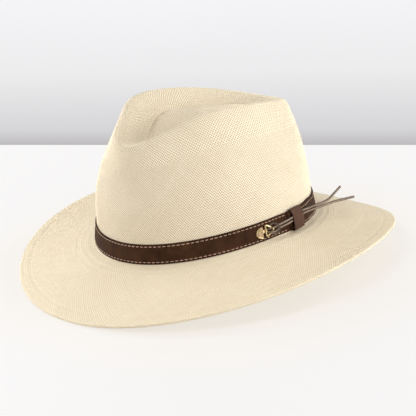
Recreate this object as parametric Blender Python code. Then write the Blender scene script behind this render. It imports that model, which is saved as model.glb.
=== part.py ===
"""A panama hat: woven straw body, leather hatband with brass ring, laces and keeper, and a sweatband.

Metres, +Z up. The hat stands on z = 0 on the front and back of its brim. Its front faces -Y and the wearer's
left side faces +X. The angle round the hat starts at the front centre and grows towards the wearer's left,
so 90 degrees is the left side and 180 degrees the back.
"""

import math

import bmesh
import bpy
import numpy as np
from mathutils import Matrix, Vector

MM = 0.001

# The head oval is the outer face of the leather band, along its lower edge.
OVAL_HALF_WIDTH = 88 * MM
OVAL_HALF_LENGTH = 106 * MM
BAND_HEIGHT = 31.4 * MM
BAND_ARCH = 3.7 * MM
BAND_WIDTH = 16.5 * MM
WALL_LEAN = 0.15
LEATHER = 0.9 * MM
GAP = 0.3 * MM
STRAW = 1.2 * MM
WALL_OUT = -(LEATHER + GAP)

# The brim is cut to one width all round and its edge is turned under.
BRIM_WIDTH = 70 * MM
HEM_WIDTH = 9 * MM
HEM_THICKNESS = 2.2 * MM
EDGE_ROLL = 1.5 * MM
FLAT_REST = 0.45 * MM
# The edge's mean height, then its waves with one, two, three and four turns round the hat.
EDGE_WAVES = (13.7 * MM, -2.0 * MM, -12.8 * MM, 2.0 * MM, -0.9 * MM)
BRIM_SAG_SIDE = 6 * MM
BRIM_SAG_FRONT = -5 * MM
JUNCTION_DROP = 0.7 * MM

# The crown's ridge and the teardrop dent inside it.
RIDGE_HEIGHT = 135.2 * MM
RIDGE_FORWARD = 9.3 * MM
RIDGE_SIDES = -4.2 * MM
RIDGE_FRONT_DIP = -22.5 * MM
RIDGE_BACK_DIP = -1.2 * MM
FRONT_DIP_SPREAD = 0.69
PINCH_ANGLE = 0.79
PINCH_SPREAD = 0.47
DENT_HALF_WIDTH = 29 * MM
DENT_HALF_LENGTH = 55 * MM
DENT_BACK_SHIFT = 7.7 * MM
DENT_FLOOR = 120.8 * MM
DENT_MIDDLE = 123.2 * MM
PINCH_DIP = 2.6 * MM
CREASE_PLACE = 0.825
FLOOR_RISE = 4.2 * MM
CROWN_BASIS_ROWS = 10

# Angles round the hat, in degrees, and heights above the band's lower edge.
PLATE_ANGLE = 77.8
RING_ANGLE = 81.0
PLATE_HEIGHT = 7.6 * MM
RING_HEIGHT = 8.5 * MM
LACE_HEIGHT = 8.1 * MM
STRAP_END_ANGLE = 95.2
STRAP_END_SLANT = 1.2
STRAP_OVERLAP = 25.0
KEEPER_START = 97.2
KEEPER_END = 105.4
KEEPER_LIFT = 1.1 * MM
KEEPER_DROP = 1.5 * MM
KEEPER_LEATHER = 0.7 * MM

PRONG_RADIUS = 0.5 * MM
PLATE_THICKNESS = 0.9 * MM
RING_HALF_HEIGHT = 5.4 * MM
RING_DEPTH = 7.5 * MM
RING_WIRE = 0.65 * MM
RING_CORNER = 0.9 * MM
RING_BAR_OUT = 1.5 * MM
RING_TILT = math.radians(15)
LACE_HALF_WIDTH = 1.1 * MM
LACE_HALF_THICKNESS = 0.8 * MM
KNOT_RADIUS = 0.7 * MM
LACE_SPACING = 2.7 * MM
THREAD_RADIUS = 0.22 * MM
STITCH_INSET = 1.9 * MM

SWEATBAND_LOW = -0.2 * MM
SWEATBAND_TOP = 31 * MM
SWEATBAND_STITCH = 1.6 * MM
SWEATBAND_LEATHER = 0.9 * MM
SWEATBAND_OUT = WALL_OUT - STRAW - GAP
REED_RADIUS = 0.8 * MM

COLUMNS = 60
CROWN_ROWS = 15


def smooth(start, end, value):
    """0 before start, 1 after end, and a smooth rise between."""
    u = np.clip((np.asarray(value, float) - start) / (end - start), 0, 1)
    return u * u * (3 - 2 * u)


def plateau(first, second, third, fourth, value):
    return smooth(first, second, value) * (1 - smooth(third, fourth, value))


def bell(angle, centre, spread):
    """Two bells, one on each side of the hat, at plus and minus centre."""
    a = np.abs((angle + np.pi) % (2 * np.pi) - np.pi)
    return np.exp(-(((a - centre) / spread) ** 2)) + np.exp(-(((a + centre) / spread) ** 2))


def columns():
    return np.radians(np.arange(COLUMNS) * 360 / COLUMNS)


# ---------------------------------------------------------------- curves of the hat


def band_line(angle):
    """Height of the band's lower edge: it is lowest at the front and back."""
    return BAND_HEIGHT - BAND_ARCH * np.cos(2 * angle)


def edge_line(angle):
    """Height of the brim edge's underside: it rests at the front and back and rises at the sides."""
    turns = np.arange(len(EDGE_WAVES))
    wave = np.cos(np.multiply.outer(angle, turns)) @ np.array(EDGE_WAVES)
    return np.maximum(wave - FLAT_REST, 0)


def keeper_drop(angle):
    """The brim is pressed down a little under the keeper."""
    return JUNCTION_DROP + KEEPER_DROP * plateau(88, 95, 111, 118, np.degrees(angle) % 360)


def oval(angle, out, height):
    """Points beside the head oval, moved outwards by out."""
    angle = np.asarray(angle, float)
    normal = np.stack([np.sin(angle) / OVAL_HALF_WIDTH, -np.cos(angle) / OVAL_HALF_LENGTH], -1)
    normal /= np.linalg.norm(normal, axis=-1, keepdims=True)
    plan = np.stack([OVAL_HALF_WIDTH * np.sin(angle), -OVAL_HALF_LENGTH * np.cos(angle)], -1)
    plan = plan + normal * (np.zeros_like(angle) + out)[..., None]
    return np.concatenate([plan, (np.zeros_like(angle) + height)[..., None]], -1)


def on_band(angle, height, out=0.0):
    """Points in the band's own measures: angle, height above its lower edge, distance outside its face."""
    return oval(angle, out - WALL_LEAN * height, band_line(np.asarray(angle, float)) + height)


def ring(angle, half_width, half_length, shift, height, scale=1.0):
    x = half_width * scale * np.sin(angle)
    y = shift - half_length * scale * np.cos(angle)
    return np.stack([x, y, np.zeros_like(angle) + height], -1)


def bspline_basis(rows, samples):
    """Clamped cubic B-spline weights of each control row at each sample, by the Cox-de Boor rule."""
    knots = np.concatenate([np.zeros(3), np.arange(rows - 2), np.full(3, rows - 3)]).astype(float)
    v = np.linspace(0, rows - 3 - 1e-9, samples)
    basis = ((v[:, None] >= knots[:-1]) & (v[:, None] < knots[1:])).astype(float)
    for degree in (1, 2, 3):
        count = len(knots) - degree - 1
        left = knots[degree : degree + count] - knots[:count]
        right = knots[degree + 1 : degree + 1 + count] - knots[1 : 1 + count]
        rise = (v[:, None] - knots[:count]) / np.where(left > 0, left, 1) * (left > 0)
        ahead = knots[degree + 1 : degree + 1 + count] - v[:, None]
        fall = ahead / np.where(right > 0, right, 1) * (right > 0)
        basis = rise * basis[:, :count] + fall * basis[:, 1 : count + 1]
    return basis


def crown_control_rows(angle):
    """Control rows of the crown, from the top of the band up over the ridge and down into the dent."""
    pinch = bell(angle, PINCH_ANGLE, PINCH_SPREAD)
    ridge = (
        RIDGE_HEIGHT
        + RIDGE_FORWARD * np.cos(angle)
        + RIDGE_SIDES * np.cos(2 * angle)
        + RIDGE_FRONT_DIP * bell(angle, 0, FRONT_DIP_SPREAD) / 2
        + RIDGE_BACK_DIP * bell(angle, np.pi, 0.7)
        - PINCH_DIP * bell(angle, 0.7, 0.3)
    )
    turn = (angle + np.pi) % (2 * np.pi) - np.pi
    front = np.exp(-((turn / 0.6) ** 2))
    back = np.exp(-(((np.abs(turn) - np.pi) / 0.7) ** 2))
    side = 1 - front - back
    wall_foot = band_line(angle) + BAND_WIDTH
    shoulder = ridge - 6 * MM
    lower = wall_foot + (shoulder - wall_foot) * 0.40
    upper = wall_foot + (shoulder - wall_foot) * 0.75
    dent_wall = ridge - (17.6 * side + 4.4 * front + 4.8 * back) * MM
    floor = DENT_FLOOR - 6.1 * MM * front
    return np.stack(
        [
            on_band(angle, BAND_WIDTH, WALL_OUT),
            on_band(angle, BAND_WIDTH + 9 * MM, WALL_OUT + 0.9 * MM),
            ring(angle, 83.5 * MM, 99.9 * MM, -1.3 * MM, lower),
            ring(angle, 73.9 * MM, 94.6 * MM, 1.9 * MM, upper, 1 - 0.044 * pinch),
            ring(angle, 62.1 * MM, 92.6 * MM, 1.0 * MM, shoulder, 1 - 0.111 * pinch),
            ring(angle, 58.1 * MM, 88.6 * MM, 1.0 * MM, ridge + 4 * MM, 1 - 0.115 * pinch),
            ring(angle, 48.2 * MM, 78.7 * MM, 1.0 * MM, ridge + 1 * MM, 1 - 0.115 * pinch),
            ring(angle, DENT_HALF_WIDTH, DENT_HALF_LENGTH, DENT_BACK_SHIFT, dent_wall),
            ring(angle, DENT_HALF_WIDTH / 2, DENT_HALF_LENGTH / 2, DENT_BACK_SHIFT, floor),
            ring(angle, 0, 0, DENT_BACK_SHIFT, DENT_MIDDLE),
        ]
    )


def brim_point(angle, share):
    """A point of the brim's upper face, share 0 at the crown and 1 at the edge."""
    start = band_line(angle) - keeper_drop(angle) - 0.2 * MM
    end = edge_line(angle) + HEM_THICKNESS
    reach = np.sqrt(BRIM_WIDTH**2 - (end - start) ** 2)
    sag = BRIM_SAG_SIDE * np.sin(angle) ** 2 + BRIM_SAG_FRONT * np.cos(angle) ** 2
    height = start + (end - start) * share + sag * (share**2 - share)
    return oval(angle, reach * share, height)


def straw_outer_rings(angle):
    """Rings of the straw's upper and outer face, from the middle of the dent to the brim's edge."""
    basis = bspline_basis(CROWN_BASIS_ROWS, CROWN_ROWS)
    crown = np.einsum("vr,rac->vac", basis, crown_control_rows(angle))
    # The dent's floor stands a little proud inside the fold at the foot of the dent's wall.
    inside_fold = smooth(CREASE_PLACE, CREASE_PLACE + 0.05, np.linspace(0, 1, CROWN_ROWS))
    crown[:, :, 2] += FLOOR_RISE * inside_fold[:, None]
    crown = crown[::-1]
    drop = keeper_drop(angle)
    foot = [
        on_band(angle, BAND_WIDTH * 0.5, WALL_OUT),
        on_band(angle, 0.8 * MM - drop, WALL_OUT),
        on_band(angle, 0.1 * MM - drop, WALL_OUT + 0.3 * MM),
    ]
    hem_start = 1 - HEM_WIDTH / BRIM_WIDTH
    brim = [brim_point(angle, share) for share in (0.02, 0.25, 0.5, 0.7, hem_start - 0.01, hem_start, 1.0)]
    return list(crown[1:]) + foot + brim


def ring_normals(rings, pole):
    """Outward normals of a stack of rings, by differences along and round it."""
    grid = np.stack([np.repeat(pole[None], rings[0].shape[0], 0)] + rings)
    along = np.gradient(grid, axis=0)[1:]
    round_it = (np.roll(grid, -1, 1) - np.roll(grid, 1, 1))[1:]
    normal = np.cross(along, round_it)
    return normal / np.linalg.norm(normal, axis=-1, keepdims=True)


# ---------------------------------------------------------------- building helpers


def material(name, colour, roughness, metallic=0.0):
    made = bpy.data.materials.new(name)
    made.use_nodes = True
    shader = made.node_tree.nodes["Principled BSDF"]
    shader.inputs["Base Color"].default_value = (*colour, 1)
    shader.inputs["Roughness"].default_value = roughness
    shader.inputs["Metallic"].default_value = metallic
    return made


def collection(name):
    made = bpy.data.collections.new(name)
    bpy.context.scene.collection.children.link(made)
    return made


def add_object(name, data, surface, where, smooth_angle=None):
    made = bpy.data.objects.new(name, data)
    where.objects.link(made)
    data.materials.append(surface)
    if smooth_angle is not None:
        data.shade_smooth()
        data.set_sharp_from_angle(angle=math.radians(smooth_angle))
    return made


def mesh_from(name, points, faces):
    """A mesh of the given faces, with its normals turned outwards."""
    shape = bmesh.new()
    corners = [shape.verts.new(point) for point in points]
    for face in faces:
        shape.faces.new([corners[i] for i in face])
    bmesh.ops.recalc_face_normals(shape, faces=shape.faces)
    mesh = bpy.data.meshes.new(name)
    shape.to_mesh(mesh)
    shape.free()
    return mesh


def loft(name, sections, closed_round=True, closed_along=False, poles=None):
    """A skin over equal sections. Poles close both ends with fans, or else flat ends close an open run."""
    count = len(sections[0])
    points = [tuple(point) for section in sections for point in section]
    faces = []
    runs = len(sections) if closed_along else len(sections) - 1
    steps = count if closed_round else count - 1
    for run in range(runs):
        here, there = run * count, (run + 1) % len(sections) * count
        for step in range(steps):
            follow = (step + 1) % count
            faces.append((here + step, here + follow, there + follow, there + step))
    last = (len(sections) - 1) * count
    if poles is not None:
        points += [tuple(pole) for pole in poles]
        first_pole, last_pole = len(points) - 2, len(points) - 1
        for step in range(count):
            follow = (step + 1) % count
            faces.append((first_pole, follow, step))
            faces.append((last_pole, last + step, last + follow))
    elif not closed_along:
        faces.append(tuple(range(count)))
        faces.append(tuple(range(last, last + count)))
    return mesh_from(name, points, faces)


def tube(name, points, radius, cyclic=False, resolution=2):
    """A round wire or thread through the given points, with filled ends."""
    curve = bpy.data.curves.new(name, "CURVE")
    curve.dimensions = "3D"
    curve.bevel_depth = radius
    curve.bevel_resolution = resolution
    curve.use_fill_caps = not cyclic
    spline = curve.splines.new("POLY")
    spline.points.add(len(points) - 1)
    for slot, point in zip(spline.points, points):
        slot.co = (*point, 1)
    spline.use_cyclic_u = cyclic
    return curve


def smooth_route(route, count):
    """Evenly spread points on a smooth curve through the route's points (centripetal Catmull-Rom)."""
    knots = [Vector(point) for point in route]
    knots = [2 * knots[0] - knots[1]] + knots + [2 * knots[-1] - knots[-2]]
    dense = []
    for i in range(1, len(knots) - 2):
        a, b, c, d = knots[i - 1 : i + 3]
        for step in range(12):
            u = step / 12
            square = (2 * a - 5 * b + 4 * c - d) * u**2
            cube = (3 * b - a - 3 * c + d) * u**3
            dense.append(0.5 * (2 * b + (c - a) * u + square + cube))
    dense.append(knots[-2])
    run = [0.0]
    for first, second in zip(dense, dense[1:]):
        run.append(run[-1] + (second - first).length)
    marks = np.linspace(0, run[-1], count)
    spread = [np.interp(marks, run, [point[axis] for point in dense]) for axis in range(3)]
    return [tuple(point) for point in np.transpose(spread)]


def fitting_frame(angle_degrees, height, out):
    """A frame on the band: X runs back along it, Y up its width and Z straight out."""
    angle = math.radians(angle_degrees)
    origin = Vector(on_band(angle, height, out))
    up = (Vector(on_band(angle, height + MM, out)) - origin).normalized()
    back = (Vector(on_band(angle + 0.01, height, out)) - origin).normalized()
    outward = back.cross(up).normalized()
    back = up.cross(outward)
    return Matrix.Translation(origin) @ Matrix((back, up, outward)).transposed().to_4x4()


def rod(name, radius, length, segments):
    """A short round rod along Z, centred on the origin."""
    shape = bmesh.new()
    bmesh.ops.create_cone(
        shape, cap_ends=True, segments=segments, radius1=radius, radius2=radius, depth=length
    )
    mesh = bpy.data.meshes.new(name)
    shape.to_mesh(mesh)
    shape.free()
    return mesh


def cut(target, cutter, name):
    modifier = target.modifiers.new(name, "BOOLEAN")
    modifier.operation = "DIFFERENCE"
    modifier.object = cutter
    modifier.solver = "EXACT"


def join(target, other, name):
    modifier = target.modifiers.new(name, "BOOLEAN")
    modifier.operation = "UNION"
    modifier.object = other
    modifier.solver = "EXACT"


def as_helper(made):
    made.hide_render = True
    made.display_type = "WIRE"
    return made


# ---------------------------------------------------------------- the straw


def make_straw(surface, where):
    """Crown and brim in one woven piece: a thin shell whose edge is turned under."""
    angle = columns()
    outer = straw_outer_rings(angle)
    pole = np.array([0, DENT_BACK_SHIFT, DENT_MIDDLE + FLOOR_RISE])
    normals = ring_normals(outer, pole)
    thickness = [STRAW] * (len(outer) - 2) + [HEM_THICKNESS] * 2
    inner = [points - normal * depth for points, normal, depth in zip(outer, normals, thickness)]
    edge = outer[-1]
    inward = (outer[-2] - edge) / np.linalg.norm(outer[-2] - edge, axis=1, keepdims=True)
    bottom = edge.copy()
    bottom[:, 2] = edge_line(angle)
    rolled = bottom + inward * EDGE_ROLL
    rest = plateau(-14, -8, 8, 14, (np.degrees(angle) + 90) % 180 - 90)
    rolled[:, 2] = rolled[:, 2] * (1 - rest) + bottom[:, 2] * rest
    sections = outer + [bottom, rolled] + inner[-2::-1]
    inner_pole = pole - np.array([0, 0, STRAW])
    shell = loft("straw_body", sections, poles=(pole, inner_pole))
    return add_object("straw_body", shell, surface, where, 40)


def make_hem_thread(surface, where):
    """The thread that holds the turned edge down, shown on the brim's upper face."""
    angle = columns()
    line = brim_point(angle, 1 - (HEM_WIDTH - 1.5 * MM) / BRIM_WIDTH)
    line[:, 2] += GAP + THREAD_RADIUS + 0.1 * MM
    thread = tube("brim_hem_thread", line, THREAD_RADIUS, True, 0)
    return add_object("brim_hem_thread", thread, surface, where)


# ---------------------------------------------------------------- the sweatband


def strip_section(angle, low, high, outer, inner):
    """Corners of a strip's cross-section on the band at one angle."""
    places = ((low, outer), (high, outer), (high, inner), (low, inner))
    return [on_band(angle, height, out) for height, out in places]


def make_sweatband(surface, where):
    """An upright leather strip inside the crown, open by a hair at the back seam."""
    angle = np.radians(np.concatenate([[180.3], np.arange(186, 540, 6), [539.7]]))
    out = SWEATBAND_OUT
    sections = [strip_section(a, SWEATBAND_LOW, SWEATBAND_TOP, out, out - SWEATBAND_LEATHER) for a in angle]
    return add_object("sweatband", loft("sweatband", sections), surface, where, 40)


def make_sweatband_reed(surface, where):
    """The round reed in the sweatband's lower edge."""
    height = SWEATBAND_LOW - GAP - REED_RADIUS
    line = on_band(columns(), height, SWEATBAND_OUT - REED_RADIUS - 0.1 * MM)
    return add_object("sweatband_reed", tube("sweatband_reed", line, REED_RADIUS, True, 1), surface, where)


def make_sweatband_thread(surface, where):
    out = SWEATBAND_OUT - SWEATBAND_LEATHER - GAP - THREAD_RADIUS
    line = on_band(columns(), SWEATBAND_STITCH, out)
    thread = tube("sweatband_thread", line, THREAD_RADIUS, True, 0)
    return add_object("sweatband_thread", thread, surface, where)


def make_patch(name, first, last, low, high, out, thick, surface, where):
    """A thin flat piece lying on the inside of the sweatband between two angles."""
    angle = np.radians(np.linspace(first, last, 4))
    sections = [strip_section(a, low, high, out, out - thick) for a in angle]
    return add_object(name, loft(name, sections), surface, where, 40)


# ---------------------------------------------------------------- the hatband


def keeper_lift(degrees):
    """How far the band stands off the crown to let the keeper's back pass behind it."""
    return KEEPER_LIFT * plateau(88.5, 95, 111, 118, np.asarray(degrees, float) % 360)


def strap_out(degrees):
    """Distance of the strap's outer face, for an angle that runs on past 360 under its own first end."""
    over = (LEATHER + GAP) * (1 - smooth(123, 142, degrees))
    return keeper_lift(degrees) + over


def make_band_strap(surface, prong_places, where, helpers):
    """One leather strap round the crown. Its outer end lies over its inner end for a few centimetres."""
    last = STRAP_END_ANGLE + 360 + STRAP_OVERLAP
    stops = np.concatenate([[STRAP_END_ANGLE, 99], np.arange(102, last - 1, 3.0), [last]])
    stops = np.array([s for s in stops if 84 < s % 360 < 144 or s % 6 == 0])
    sections = []
    for degrees in stops:
        a = math.radians(degrees)
        slant = STRAP_END_SLANT if degrees == STRAP_END_ANGLE else 0.0
        face = float(strap_out(degrees))
        low_angle = a + math.radians(slant)
        sections.append(
            [
                on_band(low_angle, 0, face),
                on_band(a, BAND_WIDTH, face),
                on_band(a, BAND_WIDTH, face - LEATHER),
                on_band(low_angle, 0, face - LEATHER),
            ]
        )
    strap = add_object("band_strap", loft("band_strap", sections), surface, where, 40)
    for number, place in enumerate(prong_places):
        mesh = rod("prong_hole", PRONG_RADIUS + 0.25 * MM, 6 * MM, 12)
        hole = as_helper(add_object(f"prong_hole_{number}", mesh, surface, helpers))
        hole.matrix_world = place
        cut(strap, hole, f"Prong hole {number}")
    return strap


def make_band_stitch(name, height, surface, where):
    """One row of stitching along the strap, as a single thread lying on its outer face."""
    stops = np.arange(99, 451, 3.0)
    stops = [s for s in stops if 84 < s % 360 < 144 or s % 6 == 0]
    line = [on_band(math.radians(s), height, float(strap_out(s)) + GAP + THREAD_RADIUS) for s in stops]
    return add_object(name, tube(name, line, THREAD_RADIUS, False, 0), surface, where)


def keeper_section(degrees):
    """The keeper's loop at one angle: the points of its outer outline, then of its inner outline."""
    a = math.radians(degrees)
    back = WALL_OUT + GAP
    face = float(strap_out(STRAP_END_ANGLE + 4))
    arch = face + GAP + 2 * LACE_HALF_THICKNESS + GAP
    side = face + 2 * GAP + 2 * THREAD_RADIUS
    low, high = -GAP, BAND_WIDTH + GAP
    middle = BAND_WIDTH / 2
    inner = [(low, back + KEEPER_LEATHER), (low, side), (3.2 * MM, arch), (middle, arch + 0.1 * MM)]
    inner += [(high - 3.5 * MM, arch), (high, side), (high, back + KEEPER_LEATHER)]
    t = KEEPER_LEATHER
    outer = [(low - t, back), (low - t, side + 0.3 * MM), (2.6 * MM, arch + t), (middle, arch + t + 0.1 * MM)]
    outer += [(high - 2.9 * MM, arch + t), (high + t, side + 0.3 * MM), (high + t, back)]
    return [on_band(a, h, out) for h, out in outer], [on_band(a, h, out) for h, out in inner]


def make_keeper(surface, where, pivot):
    """A leather loop round the strap and the laces, which slides along the band."""
    stops = np.linspace(KEEPER_START, KEEPER_END, 4)
    sections = [keeper_section(stop) for stop in stops]
    count = len(sections[0][0])
    points = [tuple(p) for outer, inner in sections for p in outer + inner]
    faces = []
    for run in range(len(sections) - 1):
        here, there = run * 2 * count, (run + 1) * 2 * count
        for step in range(count):
            follow = (step + 1) % count
            faces.append((here + step, here + follow, there + follow, there + step))
            inside = (here + step, there + step, there + follow, here + follow)
            faces.append(tuple(corner + count for corner in inside))
    for end in (0, (len(sections) - 1) * 2 * count):
        for step in range(count):
            follow = (step + 1) % count
            faces.append((end + step, end + follow, end + count + follow, end + count + step))
    mesh = mesh_from("keeper_loop", points, faces)
    mesh.transform(Matrix.Translation(-pivot.location))
    keeper = add_object("keeper_loop", mesh, surface, where, 35)
    keeper.parent = pivot
    return keeper


# ---------------------------------------------------------------- brass fittings


def plate_outline():
    """Half oval, straight along the side that faces the ring. X runs back, Y up."""
    half_height, length, straight_side = 4.6 * MM, 6.6 * MM, 3.0 * MM
    turn = np.linspace(math.pi / 2, 3 * math.pi / 2, 15)
    return [(straight_side + length * math.cos(a), half_height * math.sin(a)) for a in turn]


def flat_piece(name, outline, thickness, low):
    """A plate of the given outline whose underside is at height low."""
    curve = bpy.data.curves.new(name, "CURVE")
    curve.dimensions = "2D"
    curve.fill_mode = "BOTH"
    curve.extrude = thickness / 2
    spline = curve.splines.new("POLY")
    spline.points.add(len(outline) - 1)
    for slot, (x, y) in zip(spline.points, outline):
        slot.co = (x, y, 0, 1)
    spline.use_cyclic_u = True
    holder = bpy.data.objects.new(name, curve)
    bpy.context.scene.collection.objects.link(holder)
    graph = bpy.context.evaluated_depsgraph_get()
    mesh = bpy.data.meshes.new_from_object(holder.evaluated_get(graph))
    bpy.data.objects.remove(holder)
    bpy.data.curves.remove(curve)
    shape = bmesh.new()
    shape.from_mesh(mesh)
    bmesh.ops.remove_doubles(shape, verts=shape.verts, dist=0.00001)
    bmesh.ops.translate(shape, verts=shape.verts, vec=(0, 0, low + thickness / 2))
    bmesh.ops.recalc_face_normals(shape, faces=shape.faces)
    shape.to_mesh(mesh)
    shape.free()
    mesh.name = name
    return mesh


def make_plate(surface, where, helpers):
    """The D-shaped plate: a dished face, two prongs through the strap and a tongue that holds the ring."""
    frame = fitting_frame(PLATE_ANGLE, PLATE_HEIGHT, GAP)
    blank = flat_piece("hinge_plate", plate_outline(), PLATE_THICKNESS, 0)
    plate = add_object("hinge_plate", blank, surface, where, 35)
    plate.matrix_world = frame
    dish = [(x * 0.72 + 0.5 * MM, y * 0.72) for x, y in plate_outline()]
    dish_mesh = flat_piece("plate_dish", dish, 1 * MM, PLATE_THICKNESS - 0.3 * MM)
    dish_cutter = as_helper(add_object("plate_dish", dish_mesh, surface, helpers))
    dish_cutter.matrix_world = frame
    cut(plate, dish_cutter, "Dished face")
    prong_places = []
    for number, y in enumerate((-2 * MM, 2 * MM)):
        place = frame @ Matrix.Translation((0.6 * MM, y, -0.35 * MM))
        mesh = rod("prong", PRONG_RADIUS, 1.5 * MM, 8)
        prong = as_helper(add_object(f"plate_prong_{number}", mesh, surface, helpers))
        prong.matrix_world = place
        join(plate, prong, f"Prong {number}")
        prong_places.append(place)
    tongue_object = as_helper(add_object("plate_tongue", tongue_mesh(frame), surface, helpers, 35))
    tongue_object.matrix_world = frame
    join(plate, tongue_object, "Tongue")
    return plate, prong_places


def tongue_mesh(plate_frame):
    """A strip that leaves the plate, dips under the ring's bar and hooks up round its far side."""
    bar = plate_frame.inverted() @ fitting_frame(RING_ANGLE, RING_HEIGHT, RING_BAR_OUT)
    hook = RING_WIRE + 0.15 * MM
    thick = 0.3 * MM
    turn = np.radians(np.linspace(-90, 35, 8))
    half = 1.3 * MM
    sections = []
    far = hook + thick
    for y in (-half, half):
        start = Vector((2.2 * MM, y, 0.05 * MM))
        inside = [bar @ Vector((hook * math.cos(a), y, hook * math.sin(a))) for a in turn]
        outside = [bar @ Vector((far * math.cos(a), y, far * math.sin(a))) for a in turn]
        dip = bar @ Vector((-1.5 * MM, y, -far))
        rise = Vector((0, 0, thick))
        sections.append([start + rise, dip + rise] + inside + outside[::-1] + [dip, start])
    return loft("plate_tongue", [[tuple(point) for point in section] for section in sections])


def ring_route():
    """The triangular ring in its own plane: the bar lies on X = 0 and the point is RING_DEPTH behind it."""
    corners = [Vector((0, -RING_HALF_HEIGHT)), Vector((0, RING_HALF_HEIGHT)), Vector((RING_DEPTH, 0))]
    route = []
    for i, corner in enumerate(corners):
        before = (corners[i - 1] - corner).normalized()
        after = (corners[(i + 1) % 3] - corner).normalized()
        middle = (before + after).normalized()
        half_angle = before.angle(after) / 2
        centre = corner + middle * RING_CORNER / math.sin(half_angle)
        sweep = math.pi / 2 - half_angle
        side = (after - before).normalized()
        for turn in np.linspace(-sweep, sweep, 7):
            route.append(centre + RING_CORNER * (side * math.sin(turn) - middle * math.cos(turn)))
    return [(point.x, point.y, 0) for point in route]


def ring_frame():
    """The ring's frame at rest: it leans out a little so that the lace passes behind its point."""
    frame = fitting_frame(RING_ANGLE, RING_HEIGHT, RING_BAR_OUT)
    return frame, frame @ Matrix.Rotation(-RING_TILT, 4, "Y")


def make_ring(surface, where, pivot, tilted):
    route = [tuple(tilted @ Vector(point) - pivot.location) for point in ring_route()]
    curve = tube("triangle_ring", route, RING_WIRE, True, 2)
    made = add_object("triangle_ring", curve, surface, where)
    made.parent = pivot
    return made


# ---------------------------------------------------------------- the lace

# The half knot in the ring's frame, in mm: back along the band, up, out. The other half mirrors it.
KNOT_ROUTE = [
    (12.0, 1.35, 0.4),
    (10.6, 1.45, 0.8),
    (9.2, 1.65, 2.0),
    (7.7, 1.80, 3.1),
    (6.1, 1.85, 3.5),
    (4.6, 1.80, 3.25),
    (3.15, 1.50, 2.35),
    (2.55, 1.45, 0.85),
    (3.2, 2.05, -0.4),
    (4.9, 3.25, -0.6),
    (6.6, 4.25, -0.3),
    (8.3, 4.50, 0.9),
    (10.0, 3.60, 2.4),
    (11.1, 1.90, 3.35),
    (11.5, 0.0, 3.6),
]

# A lace's route back from the knot: angle round the hat, then rise and distance outside the band in mm.
LACE_ON_BAND = [
    (87.75, 0.0, 1.9),
    (89.2, 0.0, 1.35),
    (91.2, 0.3, 1.6),
    (93.2, 0.9, 2.6),
    (95.0, 1.5, 3.35),
    (97.5, 1.9, 3.45),
    (101.5, 2.4, 3.5),
    (106.5, 3.0, 3.5),
]
# Then it springs clear: distance back from the last of those points, outwards and up, in mm, for each lace.
UPPER_TAIL = [
    (7.7, 2.9, -0.2),
    (14.0, 6.3, 0.0),
    (21.0, 9.8, 0.0),
    (26.5, 12.8, 1.1),
    (31.3, 15.6, 4.0),
    (37.9, 19.5, 8.1),
]
LOWER_TAIL = [
    (7.1, 2.7, 0.2),
    (13.8, 6.3, 0.1),
    (22.3, 10.6, 0.0),
    (31.0, 14.9, -0.4),
    (41.2, 19.6, -1.6),
    (50.6, 24.0, -2.9),
]


def knot_points(frame):
    half = [Vector(point) * MM for point in KNOT_ROUTE]
    other = [Vector((x, -y, z)) for x, y, z in reversed(half[:-1])]
    return [frame @ point for point in half + other]


def make_knot(surface, where, frame, pivot):
    route = [point - pivot.location for point in knot_points(frame)]
    curve = tube("lace_knot", smooth_route(route, 64), KNOT_RADIUS, False, 2)
    made = add_object("lace_knot", curve, surface, where)
    made.parent = pivot
    return made


def lace_route(side, tail):
    """Route points of one lace: along the band, through the keeper, then out behind it."""
    height = LACE_HEIGHT + side * LACE_SPACING / 2
    route = [Vector(on_band(math.radians(d), height + rise * MM, out * MM)) for d, rise, out in LACE_ON_BAND]
    last_angle, last_rise, last_out = LACE_ON_BAND[-1]
    frame = fitting_frame(last_angle, height + last_rise * MM, last_out * MM)
    route += [frame @ (Vector((back, up, out)) * MM) for back, out, up in tail]
    return route


def make_lace(name, side, tail, surface, where):
    """One running end: a lace of oval section whose wider side stands upright."""
    sections = []
    route = [Vector(point) for point in smooth_route(lace_route(side, tail), 46)]
    up = Vector((0, 0, 1))
    for k, point in enumerate(route):
        run = (route[min(k + 1, len(route) - 1)] - route[max(k - 1, 0)]).normalized()
        up = (up - run * up.dot(run)).normalized()
        out = run.cross(up) * LACE_HALF_THICKNESS
        rise = up * LACE_HALF_WIDTH
        turns = np.radians(np.arange(0, 360, 30))
        sections.append([tuple(point + rise * math.cos(t) + out * math.sin(t)) for t in turns])
    return add_object(name, loft(name, sections), surface, where, 40)


# ---------------------------------------------------------------- the whole hat


def empty_at(name, location, where):
    made = bpy.data.objects.new(name, None)
    made.location = location
    where.objects.link(made)
    return made


def keeper_axis():
    """Centre of the band's curve where the keeper sits, which the keeper slides round."""
    a = math.radians((KEEPER_START + KEEPER_END) / 2)
    across, along = OVAL_HALF_WIDTH * math.cos(a), OVAL_HALF_LENGTH * math.sin(a)
    reach = (across**2 + along**2) / (OVAL_HALF_WIDTH * OVAL_HALF_LENGTH)
    point = Vector(on_band(a, BAND_WIDTH / 2))
    return point + reach * Vector((-along, across, 0))


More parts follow.
